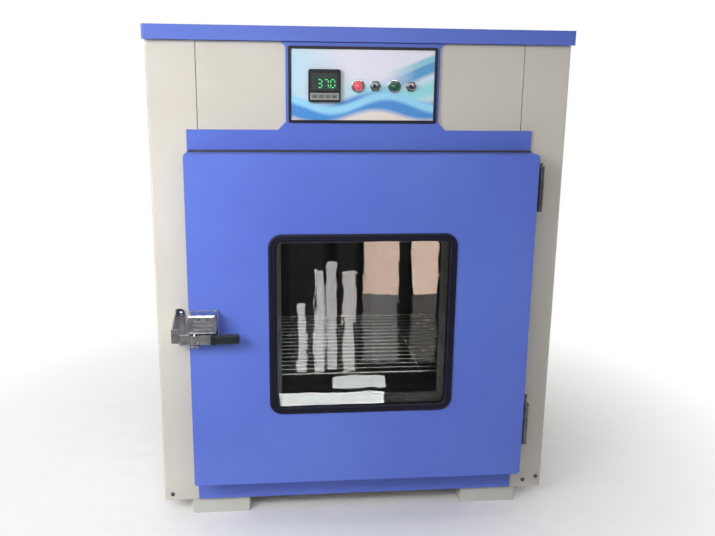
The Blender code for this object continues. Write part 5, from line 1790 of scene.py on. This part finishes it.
@dataclass
class Studio:
    """A pale floor that runs out to white, soft lamps and the camera.

    Attributes:
        place: The camera's place.
        yaw: Its turn to the right, in degrees.
        pitch: Its tilt downwards, in degrees.
        roll: Its turn about its own line of sight, in degrees.
        lens: Its focal length in millimetres, on a sensor 36 mm wide.
        fill: The light from all round: Y of its dimmest and its brightest direction, and
            their strengths.
        panels: Soft boxes that the pane mirrors: X and Z of two corners, brightness and colour.
        panel_y: Their place before the object.
        near_wall: The studio that gloss mirrors: the same for its darkest and its brightest.
        lamps: Each lamp's name, place, aim, size, power and spread in degrees.
        floor_radius: The floor's radius.
        floor_fade: How far from the middle the floor starts to whiten, and is white.
        dim_floor: Y where the floor that gloss mirrors starts to dim, and is dim.
        bright_floor: Y where that floor starts to whiten, and is white.
    """

    place: Point = (-0.14245, -1.56655, 0.74977)
    yaw: float = -6.1
    pitch: float = 14.16
    roll: float = 0.81
    lens: float = 42.576
    fill: tuple[float, float, float, float] = (-0.4, 0.6, 0.20, 0.80)
    near_wall: tuple[float, float, float, float] = (-0.9, 0.3, 0.12, 1.0)
    lamps: tuple[tuple[str, Point, Point, Flat, float, float], ...] = (
        ("key", (-0.95, -1.10, 0.95), (-0.40, -0.30, 0.45), (0.8, 0.6), 3.0, 70.0),
        ("front", (0.02, -1.45, 1.10), (0.0, -0.25, 0.28), (1.0, 0.25), 4.9, 180.0),
        ("top", (-0.4, 0.1, 2.4), (0.0, 0.0, 0.60), (1.4, 1.4), 6.0, 180.0),
    )
    floor_radius: float = 14.0
    floor_fade: Flat = (0.32, 0.85)
    dim_floor: Flat = (-0.55, -0.75)
    bright_floor: Flat = (0.0, 0.6)
    panel_y: float = -0.75
    panels: tuple[tuple[Flat, Flat, float, Colour], ...] = (
        ((-0.0867, 0.100), (-0.0678, 0.250), 34.0, (1.0, 0.98, 0.96)),
        ((-0.0510, 0.100), (-0.0290, 0.322), 34.0, (1.0, 0.98, 0.96)),
        ((-0.0265, 0.104), (-0.0055, 0.338), 29.0, (0.98, 0.99, 1.0)),
        ((0.0075, 0.098), (0.0330, 0.318), 30.0, (1.0, 0.96, 0.92)),
        ((0.0494, 0.268), (0.1227, 0.384), 42.0, (1.0, 0.76, 0.60)),
        ((0.1493, 0.268), (0.2050, 0.384), 46.0, (1.0, 0.76, 0.60)),
        ((0.0494, 0.120), (0.1227, 0.268), 8.0, (1.0, 0.96, 0.92)),
        ((0.1493, 0.120), (0.2050, 0.268), 5.0, (1.0, 0.92, 0.86)),
        ((-0.1250, 0.025), (0.0989, 0.053), 56.0, (0.97, 1.0, 0.99)),
        ((-0.0168, 0.061), (0.0981, 0.089), 46.0, (0.97, 1.0, 0.99)),
    )

    def build(self) -> None:
        """Makes the floor, the light and the camera."""
        self.lay_floor()
        self.light_world()
        for lamp in self.lamps:
            self.hang_lamp(*lamp)
        for index, panel in enumerate(self.panels):
            self.stand_panel("panel_%d" % (index + 1), *panel)
        self.set_camera()
        bpy.context.scene.view_settings.view_transform = "Standard"

    def lay_floor(self) -> None:
        """A pale round floor, which keeps the object's shadow and fades to the background.

        What glass and metal mirror of it on the user's side is a dim studio's floor.
        """
        shape = bmesh.new()
        bmesh.ops.create_circle(shape, cap_ends=True, segments=96, radius=self.floor_radius)
        mesh = bpy.data.meshes.new("floor")
        shape.to_mesh(mesh)
        shape.free()
        graph = Graph("pale floor")
        at = graph.place()
        away = graph.add("ShaderNodeVectorMath", {0: at}, operation="LENGTH").outputs["Value"]
        speck = graph.noise(at, 30.0, 3.0)
        tone = graph.mix(graph.span(speck, 0.3, 0.7), (0.86, 0.86, 0.86), (0.90, 0.90, 0.90))
        white = graph.add("ShaderNodeEmission", {"Color": (1.0, 1.0, 1.0), "Strength": 1.0})
        path = graph.add("ShaderNodeLightPath").outputs
        side = graph.add("ShaderNodeSeparateXYZ", {0: at}).outputs["Y"]
        dim = graph.sum("MULTIPLY", path["Is Glossy Ray"], graph.span(side, *self.dim_floor))
        shade = graph.mix(dim, tone, (0.42, 0.42, 0.43))
        graph.dress(Base_Color=shade, Roughness=0.8, Specular_IOR_Level=0.1)
        gloss = graph.sum("MULTIPLY", path["Is Glossy Ray"], graph.span(side, *self.bright_floor))
        seen = graph.sum("MAXIMUM", path["Is Camera Ray"], path["Is Transmission Ray"])
        shown = graph.sum("MAXIMUM", seen, gloss)
        share = graph.sum("MULTIPLY", shown, graph.span(away, *self.floor_fade))
        graph.show(share, white)
        mesh.materials.append(graph.material)
        floor = bpy.data.objects.new("floor", mesh)
        bpy.context.scene.collection.objects.link(floor)
        floor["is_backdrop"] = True

    def light_world(self) -> None:
        """White behind the object, and soft greys for what the studio lights and mirrors.

        The studio is lighter behind the object than on the user's side, both in what it
        lights and in what polished metal shows of it.
        """
        world = bpy.data.worlds.new("studio")
        world.use_nodes = True
        wiring = Wiring(world.node_tree)
        path = wiring.add("ShaderNodeLightPath").outputs
        at = wiring.add("ShaderNodeTexCoord").outputs["Generated"]
        ahead = wiring.add("ShaderNodeSeparateXYZ", {0: at}).outputs["Y"]
        white = (1.0, 1.0, 1.0)
        ground, mirrored = (
            wiring.add(
                "ShaderNodeBackground", {"Color": white, "Strength": wiring.span(ahead, *wall)}
            )
            for wall in (self.fill, self.near_wall)
        )
        shown = wiring.nodes["Background"]
        wiring.feed(shown.inputs["Color"], white)
        seen = wiring.sum("MAXIMUM", path["Is Camera Ray"], path["Is Transmission Ray"])
        lit = wiring.blend(path["Is Glossy Ray"], ground.outputs[0], mirrored.outputs[0])
        lit = wiring.blend(seen, lit, shown.outputs[0])
        wiring.feed(wiring.nodes["World Output"].inputs["Surface"], lit)
        bpy.context.scene.world = world

    def hang_lamp(
        self, name: str, place: Point, aim: Point, size: Flat, power: float, spread: float
    ) -> bpy.types.Object:
        """A soft rectangular lamp.

        Args:
            name: Its name.
            place: Where it hangs.
            aim: What it points at.
            size: Its width and height.
            power: Its power in watts.
            spread: How widely it shines, in degrees.

        Returns:
            The lamp.
        """
        light = bpy.data.lights.new(name, "AREA")
        light.shape, light.size, light.size_y, light.energy = "RECTANGLE", size[0], size[1], power
        light.spread = math.radians(spread)
        lamp = bpy.data.objects.new(name + "_lamp", light)
        lamp.location = place
        lamp.rotation_euler = (Vector(aim) - Vector(place)).to_track_quat("-Z", "Y").to_euler()
        lamp.visible_camera = False
        bpy.context.scene.collection.objects.link(lamp)
        return lamp

    def stand_panel(self, name: str, low: Flat, high: Flat, bright: float, tint: Colour) -> None:
        """A soft box before the object, which shows in the outer pane and lights nothing else.

        Args:
            name: Its name.
            low: X and Z of its lower left corner.
            high: X and Z of its upper right corner.
            bright: How bright it is, where 1 is white.
            tint: Its colour.
        """
        wide, tall = high[0] - low[0], high[1] - low[1]
        place = ((low[0] + high[0]) / 2, self.panel_y, (low[1] + high[1]) / 2)
        aim = (place[0], 0.0, place[2])
        power = bright * math.pi * wide * tall
        lamp = self.hang_lamp(name, place, aim, (wide, tall), power, 180.0)
        lamp.data.color = tint
        lamp.visible_diffuse = lamp.visible_transmission = False
        mirrors = bpy.data.collections.new(name + "_mirrors")
        mirrors.objects.link(bpy.data.objects["outer_glass"])
        lamp.light_linking.receiver_collection = mirrors

    def set_camera(self) -> None:
        """The camera at the picture's place."""
        data = bpy.data.cameras.new("camera")
        data.lens, data.sensor_width, data.clip_end = self.lens, 36.0, 100.0
        yaw, pitch, roll = (math.radians(value) for value in (self.yaw, self.pitch, self.roll))
        level = Vector((-math.sin(yaw), math.cos(yaw), 0.0))
        side = Vector((level.y, -level.x, 0.0))
        rise = Vector((0.0, 0.0, 1.0))
        ahead = math.cos(pitch) * level - math.sin(pitch) * rise
        over = math.sin(pitch) * level + math.cos(pitch) * rise
        right = math.cos(roll) * side + math.sin(roll) * over
        up = math.cos(roll) * over - math.sin(roll) * side
        camera = bpy.data.objects.new("camera", data)
        turn = Matrix((right, up, -ahead)).transposed().to_4x4()
        camera.matrix_world = Matrix.Translation(self.place) @ turn
        bpy.context.scene.collection.objects.link(camera)
        bpy.context.scene.camera = camera


def corners() -> list[list[float]]:
    """The lowest and highest corner of what is shown, as plain lists."""
    return [list(corner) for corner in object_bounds()]


def main() -> None:
    """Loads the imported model, dresses every sub-assembly and sets up the studio."""
    logging.basicConfig(level=logging.INFO, format="%(name)s: %(message)s")
    FRAME.update(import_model())
    for part in (Cabinet(), Chamber(), Door(), Latch(), ControlPanel(), Openings()):
        LOG.info("building %s", type(part).__name__)
        part.build()
    Studio().build()


if __name__ == "__main__":
    main()
